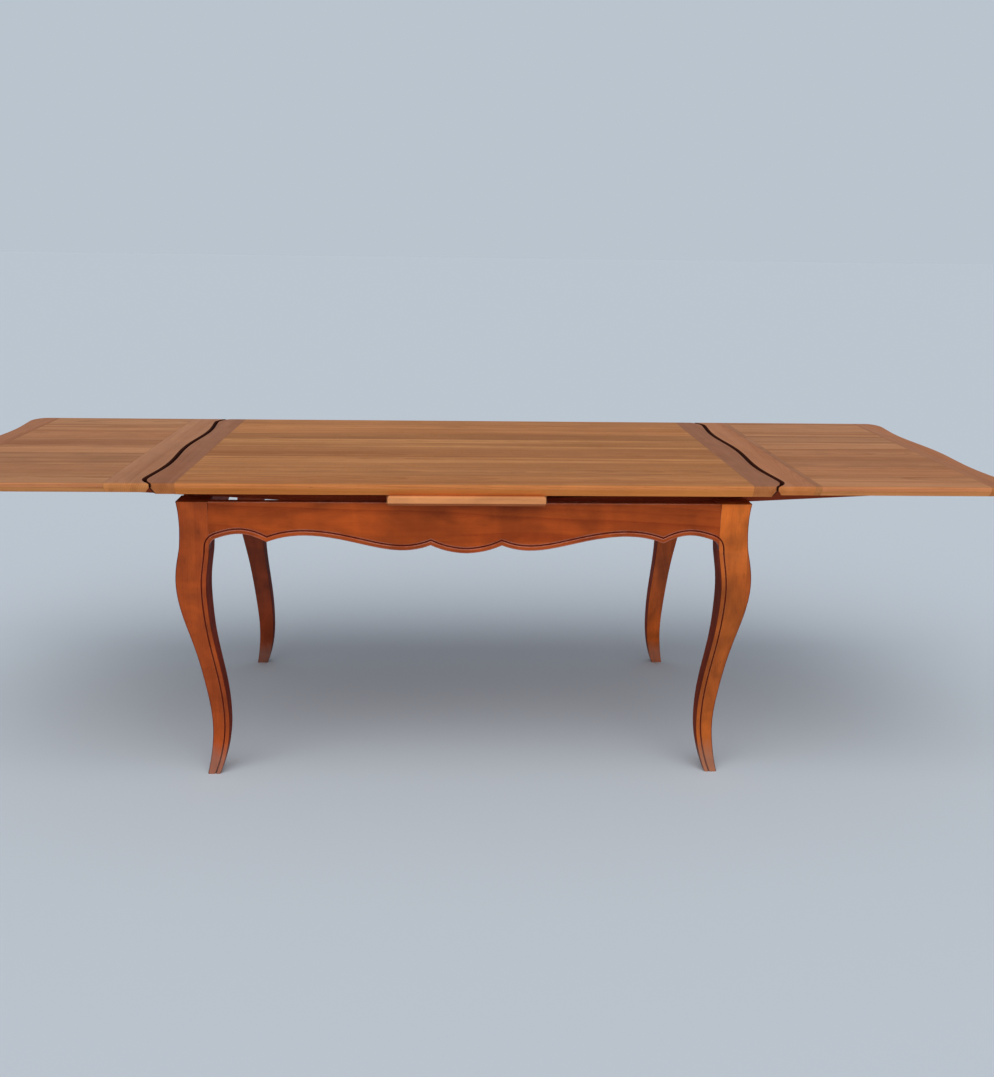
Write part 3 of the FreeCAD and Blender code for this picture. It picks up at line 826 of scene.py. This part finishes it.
        # arrises take a paler colour: rubbed wear, and a painted highlight along the edges and the bead
        colour = w.mix(w.times(wear_and_highlight["Rub"], self.rub_and_highlight), stain["Color"], self.worn_and_highlight)
        colour = self.turned(w, colour, turn, tint)
        if crown:
            low, high = self.crown_heights
            colour = w.scale(colour, w.remap(w.split(place)[2], low, high, 1.0, 1.0 + crown))
        colour, dull, line = self.shade_and_soil(w, effects, place, colour, turn, joints)
        rough = w.math("MULTIPLY_ADD", marks["Streaks"], self.streak_roughness, self.roughness)
        rough = w.math("MULTIPLY_ADD", wear_and_highlight["Scuff"], self.scuff_roughness, rough)
        if self.dust:
            dust = w.times(effects.dust.place(w, Vector=place)["Dust"], self.dust)
            colour = w.mix(dust, colour, self.dusty)
            rough = w.math("MULTIPLY_ADD", dust, self.dust_roughness, rough)
        rough = w.math("MULTIPLY_ADD", dull, self.dull_roughness, rough, clamp=True)
        height = stain["Height"]
        if self.joint_line:
            height = w.minus(height, w.times(line, self.joint_depth))
        shader = w.surface(colour, rough, w.bump(height, self.bumpiness, self.relief, wear_and_highlight["Normal"]))
        w.feed(shader["Coat Weight"], w.times(w.minus(1.0, dull), self.coat))
        shader["Specular IOR Level"].default_value = self.specular
        shader["Coat Roughness"].default_value = self.coat_roughness
        return material


@dataclass(frozen=True)
class ZincedSteel:
    """The dulled zinc of old screws."""

    name: str = "zinced_steel"
    bright: Colour = (0.56, 0.55, 0.52)
    dull: Colour = (0.25, 0.22, 0.18)
    roughness: float = 0.34
    relief: float = 0.00005

    def material(self, effects: Effects) -> bpy.types.Material:
        """Make the finish.

        Args:
            effects: The shared node groups.

        Returns:
            The material.
        """
        material, w = empty_material(self.name, self.bright)
        place = w.add("ShaderNodeTexCoord").outputs["Object"]
        tarnish = w.remap(w.noise(place, (260.0, 260.0, 260.0), 4.0, 0.6), 0.38, 0.64)
        wear_and_highlight = effects.edges.place(w, Vector=place, Radius=0.0006)
        clean = w.times(tarnish, w.minus(1.0, w.times(wear_and_highlight["Rub"], 0.8)))
        rough = w.math("MULTIPLY_ADD", tarnish, 0.25, self.roughness)
        shader = w.surface(w.mix(clean, self.bright, self.dull), rough, w.bump(tarnish, 0.4, self.relief))
        shader["Metallic"].default_value = 1.0
        return material


TOP_FIELD = VarnishedWood(
    "top_cherry", pale=(0.555, 0.244, 0.084), dark=(0.25, 0.083, 0.022), red=(0.40, 0.125, 0.034),
    worn_and_highlight=(0.66, 0.34, 0.15), stave_width=0.128, joint_line=0.25, tone_strength=0.24, streak_strength=0.66,
    upright_painted_light=(1.34, 1.18, 1.12), slant_painted_light=(1.7, 1.46, 1.1), end_dull=0.5, specular=0.03,
    coat=0.05, coat_roughness=0.4, roughness=0.55, arris=0.001)
BREADBOARD = VarnishedWood(
    "breadboard_cherry", pale=(0.43, 0.194, 0.102), dark=(0.24, 0.083, 0.036), red=(0.33, 0.10, 0.036),
    worn_and_highlight=(0.64, 0.33, 0.16), stave_width=0.4, joint_line=0.15, upright_painted_light=(1.36, 1.2, 0.82),
    slant_painted_light=(1.85, 1.55, 0.95), end_dull=0.5, specular=0.03, coat=0.05, coat_roughness=0.4,
    roughness=0.55, arris=0.001)
# the apron's slanting faces are made paler and bluer: a painted reflection along the bead's lower rounding
APRON = VarnishedWood(
    "apron_cherry", pale=(0.50, 0.096, 0.014), dark=(0.25, 0.036, 0.005), red=(0.36, 0.048, 0.006),
    worn_and_highlight=(0.78, 0.33, 0.24), rub_and_highlight=0.9, butts=True, stave_width=0.5, ring_width=0.006, ring_strength=0.7,
    figure_strength=0.65, blotch_strength=0.9, hollow_shade=1.0, slant_painted_light=(1.5, 2.2, 3.4),
    endways_painted_shade=(0.6, 0.45, 0.5), end_dull=0.6, roughness=0.38, arris=0.0052)
LEG = VarnishedWood(
    "leg_cherry", pale=(0.54, 0.138, 0.017), dark=(0.27, 0.052, 0.007), red=(0.38, 0.066, 0.008),
    worn_and_highlight=(0.68, 0.32, 0.16), rub_and_highlight=0.6, stave_width=0.6, figure_strength=1.0, blotch_strength=1.2,
    fleck_strength=0.4, hollow_shade=1.0, endways_painted_shade=(0.42, 0.24, 0.40), end_dull=0.95, roughness=0.32, coat=0.3,
    coat_roughness=0.22, dust=0.3, arris=0.0025)
CAP = VarnishedWood(
    "cap_cherry", pale=(0.88, 0.37, 0.14), dark=(0.52, 0.18, 0.055), red=(0.60, 0.21, 0.075),
    worn_and_highlight=(0.92, 0.52, 0.36), stave_width=0.5, blotch_strength=0.7)
INNER = VarnishedWood(
    "inner_beech", pale=(0.42, 0.075, 0.026), dark=(0.24, 0.036, 0.012), red=(0.30, 0.042, 0.015),
    worn_and_highlight=(0.45, 0.17, 0.09), stave_width=0.5, ring_width=0.003, roughness=0.6, coat=0.0,
    under_painted_shade=(0.8, 0.6, 0.6))


# ---------------------------------------------------------------- sub-assemblies
def top_joints() -> dict[str, float]:
    """Measure how far from the table's middle the tops' joints are.

    Returns:
        The distances by name.
    """
    return {"First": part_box("main_top_right_breadboard")[0].x,
            "Second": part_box("right_leaf_inner_breadboard")[1].x,
            "Third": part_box("right_leaf_outer_breadboard")[0].x, "Open": OPEN_JOINT}


@dataclass
class SubAssembly:
    """A group of pieces that share a body of the model."""

    effects: Effects
    seed: float
    joints: dict[str, float] = field(default_factory=top_joints)

    def dress(self, node: str, finish: VarnishedWood, grain: Grain, tint: Colour = WHITE,
              crown: float = 0.0) -> None:
        """Give one wooden piece of the frame its finish.

        Args:
            node: The piece's name in the model.
            finish: Its finish.
            grain: The way its grain runs.
            tint: How this piece differs from its neighbours.
            crown: How much paler its top end is.
        """
        low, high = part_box(node)
        self.seed += 1.0
        material = finish.material(self.effects, grain, (low + high) / 2, self.seed, self.joints, tint, crown)
        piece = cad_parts[node]
        piece.data.materials.clear()
        piece.data.materials.append(material)
        log.info("%s: %s, grain %s", node, finish.name, grain.value)

    def build(self) -> None:
        """Dress every piece."""
        raise NotImplementedError


@dataclass
class StandingFrame(SubAssembly):
    """Four curved legs, scalloped aprons and the cross rail."""

    def build(self) -> None:
        """Dress the legs, aprons and rail."""
        tints = {"front_left_leg": ((0.97, 0.74, 0.72), -0.1), "front_right_leg": ((0.92, 0.88, 0.85), 0.55),
                 "rear_left_leg": ((0.60, 0.38, 0.50), 0.0), "rear_right_leg": ((1.25, 0.92, 0.8), 0.0)}
        for node, (tint, crown) in tints.items():
            self.dress(node, LEG, Grain.UPRIGHT, tint, crown)
        for node in ("front_apron", "rear_apron"):
            self.dress(node, APRON, Grain.ALONG)
        for node in ("left_end_apron", "right_end_apron"):
            self.dress(node, APRON, Grain.ACROSS)
        self.dress("cross_rail", INNER, Grain.ACROSS)


@dataclass
class CentreBoard(SubAssembly):
    """The fixed board that the top rests on, with its moulded caps."""

    def build(self) -> None:
        """Dress the board and its caps."""
        self.dress("centre_board", TOP_FIELD, Grain.ACROSS)
        for node in ("centre_board_front_cap", "centre_board_rear_cap"):
            self.dress(node, CAP, Grain.ALONG)


@dataclass
class MainTop(SubAssembly):
    """The loose main top: a panel between two breadboard ends."""

    def build(self) -> None:
        """Dress the panel and its ends."""
        self.dress("main_top_panel", TOP_FIELD, Grain.ALONG)
        for node in ("main_top_left_breadboard", "main_top_right_breadboard"):
            self.dress(node, BREADBOARD, Grain.ACROSS)


@dataclass
class Leaf(SubAssembly):
    """A drawn leaf on its two lopers."""

    side: str = "left"

    def build(self) -> None:
        """Dress the leaf's boards and lopers."""
        # The leaf panels' tint adds much blue: a painted grey sheen standing in for the reflection of the
        # pale surroundings. The leaf breadboards are made a little paler.
        self.dress(self.side + "_leaf_panel", TOP_FIELD, Grain.ALONG, (0.98, 1.05, 1.38))
        for part in ("inner", "outer"):
            self.dress("%s_leaf_%s_breadboard" % (self.side, part), BREADBOARD, Grain.ACROSS,
                       (1.1, 1.12, 1.05))
        for place in ("front", "rear"):
            self.dress("%s_leaf_%s_loper" % (self.side, place), INNER, Grain.ALONG)


class FastenerKind(Enum):
    """The fasteners in the table."""

    BOARD_SCREW = "countersunk, head up"
    LOPER_SCREW = "cheese head, head down"
    STOP_PIN = "turned pin, lying across"
    GUIDE_PEG = "turned peg, standing"


@dataclass
class Fasteners:
    """Screws, pins and pegs, set where the model has them."""

    effects: Effects
    steel: bpy.types.Material = field(init=False)
    dowel: bpy.types.Material = field(init=False)
    tree: bpy.types.NodeTree = field(init=False)
    slot_width: float = 0.0014
    slot_depth: float = 0.0012
    thread_pitch: float = 0.0014
    thread_core: float = 0.78
    threaded_share: float = 0.62
    plain_shank: float = 0.004
    tip_room: float = 0.002
    tip_flat: tuple[float, float] = (0.7, 0.0008)
    flat_rim: tuple[float, float] = (0.97, 0.0002)
    cheese_head: float = 0.003
    cheese_dome: tuple[tuple[float, float], ...] = ((0.75, 0.0), (0.95, 0.0004), (1.0, 0.001))
    pin_chamfer: float = 0.2
    peg_chamfer: float = 0.003
    sides: int = 32
    sharp_angle: float = 32.0
    turn_seed: int = 7
    face_reach: float = 0.0005
    dowel_seed: float = 90.0
    dowel_middle: tuple[float, float, float] = (0.0, 0.0, 0.7)

    def __post_init__(self) -> None:
        """Make the finishes and the tree that sets the fasteners out."""
        self.steel = ZincedSteel().material(self.effects)
        middle = Vector(self.dowel_middle)
        self.dowel = INNER.material(self.effects, Grain.UPRIGHT, middle, self.dowel_seed, {})
        self.tree = self.make_tree()

    def make_tree(self) -> bpy.types.NodeTree:
        """Build the tree that puts one fastener on each point, each turned its own way.

        Returns:
            The geometry node tree.
        """
        tree = bpy.data.node_groups.new("set out fasteners", "GeometryNodeTree")
        for name, kind in (("Places", "NodeSocketGeometry"), ("Fastener", "NodeSocketObject"),
                           ("Turn", "NodeSocketFloat"), ("Finish", "NodeSocketMaterial")):
            tree.interface.new_socket(name, in_out="INPUT", socket_type=kind)
        tree.interface.new_socket("Fasteners", in_out="OUTPUT", socket_type="NodeSocketGeometry")
        w = Wiring(tree)
        given = w.add("NodeGroupInput").outputs
        points = w.add("GeometryNodeMeshToPoints")
        w.feed(points.inputs["Mesh"], given["Places"])
        shape = w.add("GeometryNodeObjectInfo")
        w.feed(shape.inputs["Object"], given["Fastener"])
        turn = w.add("FunctionNodeRandomValue", data_type="FLOAT")
        floats = [s for s in turn.inputs if s.type == "VALUE"]
        w.feed(floats[0], 0.0)
        w.feed(floats[1], given["Turn"])
        turn.inputs["Seed"].default_value = self.turn_seed
        about = w.join(z=next(s for s in turn.outputs if s.type == "VALUE" and s.enabled))
        put = w.add("GeometryNodeInstanceOnPoints")
        w.feed(put.inputs["Points"], points.outputs[0])
        w.feed(put.inputs["Instance"], shape.outputs["Geometry"])
        w.feed(put.inputs["Rotation"], about)
        real = w.add("GeometryNodeRealizeInstances")
        w.feed(real.inputs[0], put.outputs[0])
        paint = w.add("GeometryNodeSetMaterial")
        w.feed(paint.inputs["Geometry"], real.outputs[0])
        w.feed(paint.inputs["Material"], given["Finish"])
        w.feed(w.add("NodeGroupOutput").inputs[0], paint.outputs[0])
        return tree

    def islands(self, node: str) -> list[Ends]:
        """Find the separate solids of a node.

        Args:
            node: The node's name.

        Returns:
            The lowest and highest corner of each.
        """
        mesh = bmesh.new()
        mesh.from_mesh(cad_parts[node].data)
        bmesh.ops.remove_doubles(mesh, verts=mesh.verts, dist=1e-6)
        left = set(mesh.verts)
        found = []
        while left:
            heap = [left.pop()]
            mine = []
            while heap:
                vert = heap.pop()
                mine.append(vert.co.copy())
                for edge in vert.link_edges:
                    other = edge.other_vert(vert)
                    if other in left:
                        left.discard(other)
                        heap.append(other)
            found.append((Vector(map(min, zip(*mine))), Vector(map(max, zip(*mine)))))
        mesh.free()
        return sorted(found, key=lambda ends: (round(ends[0].x, 4), round(ends[0].y, 4)))

    def lathe(self, profile: list[tuple[float, float]]) -> bmesh.types.BMesh:
        """Turn a closed solid from a profile.

        Args:
            profile: Radius and height from one end to the other, with radius 0 at both.

        Returns:
            The solid about Z.
        """
        mesh = bmesh.new()
        rows = []
        for radius, height in profile:
            if radius == 0.0:
                rows.append([mesh.verts.new((0, 0, height))])
            else:
                turns = [2 * math.pi * i / self.sides for i in range(self.sides)]
                rows.append([mesh.verts.new((radius * math.cos(turn), radius * math.sin(turn), height))
                             for turn in turns])
        for lower, upper in zip(rows, rows[1:]):
            for i in range(self.sides):
                j = (i + 1) % self.sides
                corners = [row[k % len(row)] for row, k in ((lower, i), (lower, j), (upper, j), (upper, i))]
                mesh.faces.new(list(dict.fromkeys(corners)))
        bmesh.ops.recalc_face_normals(mesh, faces=mesh.faces)
        return mesh

    def profile(self, kind: FastenerKind, size: Vector) -> list[tuple[float, float]]:
        """Return the outline that a fastener is turned to.

        Args:
            kind: Which fastener.
            size: The size of its solid in the model.

        Returns:
            Radius and height, from the end that faces down.
        """
        tall = size.z
        wide = min(size.x, size.y) / 2
        if kind is FastenerKind.STOP_PIN:
            chamfer = wide * self.pin_chamfer
            return [(0, 0), (wide - chamfer, 0), (wide, chamfer), (wide, tall - chamfer),
                    (wide - chamfer, tall), (0, tall)]
        if kind is FastenerKind.GUIDE_PEG:
            chamfer = self.peg_chamfer
            return [(0, 0), (wide - chamfer, 0), (wide, chamfer), (wide, tall), (0, tall)]
        shank = wide / 2
        if kind is FastenerKind.BOARD_SCREW:
            share, rim = self.flat_rim
            outline = [(0, 0), (wide * share, 0), (wide, rim)] + self.thread(shank, wide - shank, tall)
            return [(r, tall - z) for r, z in reversed(outline)]
        head = self.cheese_head
        dome = [(wide * share, height) for share, height in self.cheese_dome]
        return [(0, 0)] + dome + [(wide, head)] + self.thread(shank, head, tall)

    def thread(self, shank: float, head: float, tall: float) -> list[tuple[float, float]]:
        """Return the outline of a screw from under its head to its tip.

        Args:
            shank: The shank's radius.
            head: The head's height.
            tall: The screw's length.

        Returns:
            Radius and height.
        """
        pitch = self.thread_pitch
        start = head + self.plain_shank
        count = int(tall * self.threaded_share / pitch)
        base = max(tall - count * pitch - self.tip_room, start)
        outline = [(shank, head), (shank, start)]
        for turn in range(count):
            low = base + turn * pitch
            if low + pitch > tall - self.tip_room / 2:
                break
            outline += [(shank * self.thread_core, low), (shank, low + pitch / 2)]
        share, flat = self.tip_flat
        return outline + [(shank * share, tall - flat), (0, tall)]

    def cut_slot(self, mesh: bmesh.types.BMesh, face: float, inwards: float) -> None:
        """Sink the driver's slot into a head.

        Args:
            mesh: The screw.
            face: The height of the head's face.
            inwards: 1 when the head faces down, -1 when it faces up.
        """
        half = self.slot_width / 2
        for y in (-half, half):
            geometry = list(mesh.verts) + list(mesh.edges) + list(mesh.faces)
            bmesh.ops.bisect_plane(mesh, geom=geometry, plane_co=(0, y, 0), plane_no=(0, 1, 0))
        floor = [f for f in mesh.faces if abs(f.normal.z) > 0.5 and abs(f.calc_center_median().y) < half
                 and abs(f.calc_center_median().z - face) < self.face_reach]
        sunk = bmesh.ops.extrude_face_region(mesh, geom=floor)
        verts = [v for v in sunk["geom"] if isinstance(v, bmesh.types.BMVert)]
        bmesh.ops.translate(mesh, verts=verts, vec=(0, 0, inwards * self.slot_depth))
        bmesh.ops.delete(mesh, geom=floor, context="FACES")
        bmesh.ops.recalc_face_normals(mesh, faces=mesh.faces)
        # the extrusion lists its faces in no fixed order
        mesh.verts.index_update()
        in_order = sorted(mesh.faces, key=lambda f: sorted(v.index for v in f.verts))
        for number, f in enumerate(in_order):
            f.index = number
        mesh.faces.sort()

    def shape(self, kind: FastenerKind, size: Vector) -> bpy.types.Object:
        """Make one fastener standing on the origin.

        Args:
            kind: Which fastener.
            size: The size of its solid in the model.

        Returns:
            The object that the tree sets out.
        """
        if kind is FastenerKind.STOP_PIN:
            size = Vector((size.x, size.z, size.y))
        mesh = self.lathe(self.profile(kind, size))
        if kind is FastenerKind.BOARD_SCREW:
            self.cut_slot(mesh, size.z, -1)
        if kind is FastenerKind.LOPER_SCREW:
            self.cut_slot(mesh, 0.0, 1)
        if kind is FastenerKind.STOP_PIN:
            lying = Matrix.Rotation(-math.pi / 2, 3, "X")
            bmesh.ops.rotate(mesh, verts=mesh.verts, cent=(0, 0, 0), matrix=lying)
        data = bpy.data.meshes.new("fastener_shape")
        mesh.to_mesh(data)
        mesh.free()
        return stand("fastener_shape", data)

    def copies(self, kind: FastenerKind, same: list[Ends], finish: bpy.types.Material) -> bpy.types.Mesh:
        """Make fasteners of one size in all their places.

        Args:
            kind: Which fastener.
            same: The lowest and highest corner of each solid.
            finish: Their material.

        Returns:
            The mesh of them all.
        """
        low, high = same[0]
        item = self.shape(kind, high - low)
        lies = kind is FastenerKind.STOP_PIN
        middles = [((a + b) / 2, a) for a, b in same]
        feet = [(middle.x, a.y, middle.z) if lies else (middle.x, middle.y, a.z) for middle, a in middles]
        data = bpy.data.meshes.new("places")
        data.from_pydata(feet, [], [])
        holder = stand("places", data)
        setter = holder.modifiers.new("set out", "NODES")
        setter.node_group = self.tree
        for name, value in (("Fastener", item), ("Turn", 0.0 if lies else 2 * math.pi), ("Finish", finish)):
            socket = next(s for s in self.tree.interface.items_tree if s.name == name)
            setter[socket.identifier] = value
        graph = bpy.context.evaluated_depsgraph_get()
        made = bpy.data.meshes.new_from_object(holder.evaluated_get(graph))
        bpy.data.objects.remove(holder)
        bpy.data.objects.remove(item)
        return made

    def set_out(self, node: str, kind: FastenerKind, body: str) -> None:
        """Replace one node of the model by detailed fasteners in the same places.

        Args:
            node: The node's name.
            kind: Which fastener.
            body: The body they ride on.
        """
        finish = self.steel if "SCREW" in kind.name else self.dowel
        ends = self.islands(node)
        groups: dict[float, list[Ends]] = {}
        for low, high in ends:
            groups.setdefault(round(high.z - low.z, 5), []).append((low, high))
        whole = bmesh.new()
        for same in groups.values():
            whole.from_mesh(self.copies(kind, same, finish))
        merged = bpy.data.meshes.new("fitted_" + node)
        whole.to_mesh(merged)
        whole.free()
        merged.materials.append(finish)
        merged.set_sharp_from_angle(angle=math.radians(self.sharp_angle))
        piece = stand("fitted_" + node, merged)
        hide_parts(node)
        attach(piece, body)
        log.info("%s: %d x %s, %d faces", piece.name, len(ends), kind.value, len(merged.polygons))

    def build(self) -> None:
        """Set out every fastener."""
        self.set_out("centre_board_screws", FastenerKind.BOARD_SCREW, "frame")
        self.set_out("main_top_guide_pegs", FastenerKind.GUIDE_PEG, "main_top")
        for side in ("left", "right"):
            self.set_out(side + "_loper_screws", FastenerKind.LOPER_SCREW, side + "_leaf")
            self.set_out(side + "_loper_stop_pins", FastenerKind.STOP_PIN, side + "_leaf")


# ---------------------------------------------------------------- stage, light and camera
@dataclass
class Studio:
    """The plain floor, the soft light and the camera."""

    floor_half: float = 90.0
    floor_colour: Colour = (0.61, 0.665, 0.725)
    floor_roughness: float = 0.9
    floor_specular: float = 0.1
    lamp_colour: Colour = (1.0, 0.98, 0.95)
    world_colour: Colour = (0.84, 0.92, 1.0)
    world_strength: float = 0.42
    backdrop: Colour = (0.488, 0.552, 0.616)
    camera_place: tuple[float, float, float] = (-0.0470, -3.2259, 1.31055)
    camera_yaw: float = -2.480
    camera_pitch: float = 13.990
    camera_roll: float = 0.793
    focal_pixels: float = 1197.96
    sensor: float = 36.0

    def floor(self) -> None:
        """Lay the floor."""
        data = bpy.data.meshes.new("floor")
        h = self.floor_half
        data.from_pydata([(-h, -h, 0), (h, -h, 0), (h, h, 0), (-h, h, 0)], [], [(0, 1, 2, 3)])
        floor = stand("floor", data)
        material = bpy.data.materials.new("pale_floor")
        material.use_nodes = True
        shader = material.node_tree.nodes["Principled BSDF"]
        shader.inputs["Base Color"].default_value = (*self.floor_colour, 1.0)
        shader.inputs["Roughness"].default_value = self.floor_roughness
        shader.inputs["Specular IOR Level"].default_value = self.floor_specular
        data.materials.append(material)

    def world(self) -> None:
        """Set the even light from all round, and the pale background."""
        world = bpy.data.worlds.new("soft_sky")
        bpy.context.scene.world = world
        world.use_nodes = True
        w = Wiring(world.node_tree)
        w.tree.nodes.clear()
        sky = w.add("ShaderNodeBackground")
        sky.inputs["Color"].default_value = (*self.world_colour, 1.0)
        sky.inputs["Strength"].default_value = self.world_strength
        plain = w.add("ShaderNodeBackground")
        plain.inputs["Color"].default_value = (*self.backdrop, 1.0)
        rays = w.add("ShaderNodeLightPath").outputs
        seen = w.math("MAXIMUM", rays["Is Camera Ray"],
                      w.math("MAXIMUM", rays["Is Glossy Ray"], rays["Is Transmission Ray"]))
        both = w.add("ShaderNodeMixShader")
        w.feed(both.inputs[0], seen)
        w.feed(both.inputs[1], sky.outputs[0])
        w.feed(both.inputs[2], plain.outputs[0])
        w.feed(w.add("ShaderNodeOutputWorld").inputs["Surface"], both.outputs[0])

    def lamp(self, name: str, place: tuple[float, float, float], spread: float, strength: float) -> None:
        """Hang one broad soft lamp that lights the whole floor alike.

        Args:
            name: What it is for.
            place: Where it stands, from the table's foot.
            spread: How wide it looks, in degrees.
            strength: How much light it gives a face turned to it.
        """
        data = bpy.data.lights.new(name, "SUN")
        data.angle = math.radians(spread)
        data.energy = strength
        data.color = self.lamp_colour
        lamp = stand(name, data)
        lamp.location = place
        lamp.rotation_euler = (-Vector(place)).to_track_quat("-Z", "Y").to_euler()

    def camera(self) -> None:
        """Set up the camera."""
        data = bpy.data.cameras.new("camera")
        data.sensor_width = self.sensor
        data.lens = self.focal_pixels / PICTURE_LONG_SIDE * self.sensor
        data.clip_end = 100.0
        camera = stand("camera", data)
        camera.matrix_world = Matrix.Translation(self.camera_place)
        for angle, axis in ((self.camera_yaw, "Z"), (90.0 - self.camera_pitch, "X"), (self.camera_roll, "Z")):
            camera.matrix_world = camera.matrix_world @ Matrix.Rotation(math.radians(angle), 4, axis)
        bpy.context.scene.camera = camera

    def build(self) -> None:
        """Set the stage."""
        self.floor()
        self.world()
        self.lamp("key_light", (-0.8, -2.6, 3.6), 70.0, 1.55)
        self.lamp("fill_light", (2.6, -3.0, 1.6), 80.0, 0.55)
        self.camera()
        log.info("floor, light and camera are set")


def main() -> None:
    """Dress the table and set the stage."""
    logging.basicConfig(level=logging.INFO, format="%(name)s: %(message)s")
    bpy.context.scene.view_settings.view_transform = "Standard"
    Studio().build()
    effects = Effects()
    parts: list[SubAssembly] = [
        StandingFrame(effects, 10.0),
        CentreBoard(effects, 30.0),
        MainTop(effects, 40.0),
        Leaf(effects, 50.0, side="left"),
        Leaf(effects, 60.0, side="right"),
    ]
    for part in parts:
        part.build()
    Fasteners(effects).build()
    bpy.context.view_layer.update()
    log.info("sizes written")


if __name__ == "__main__":
    main()
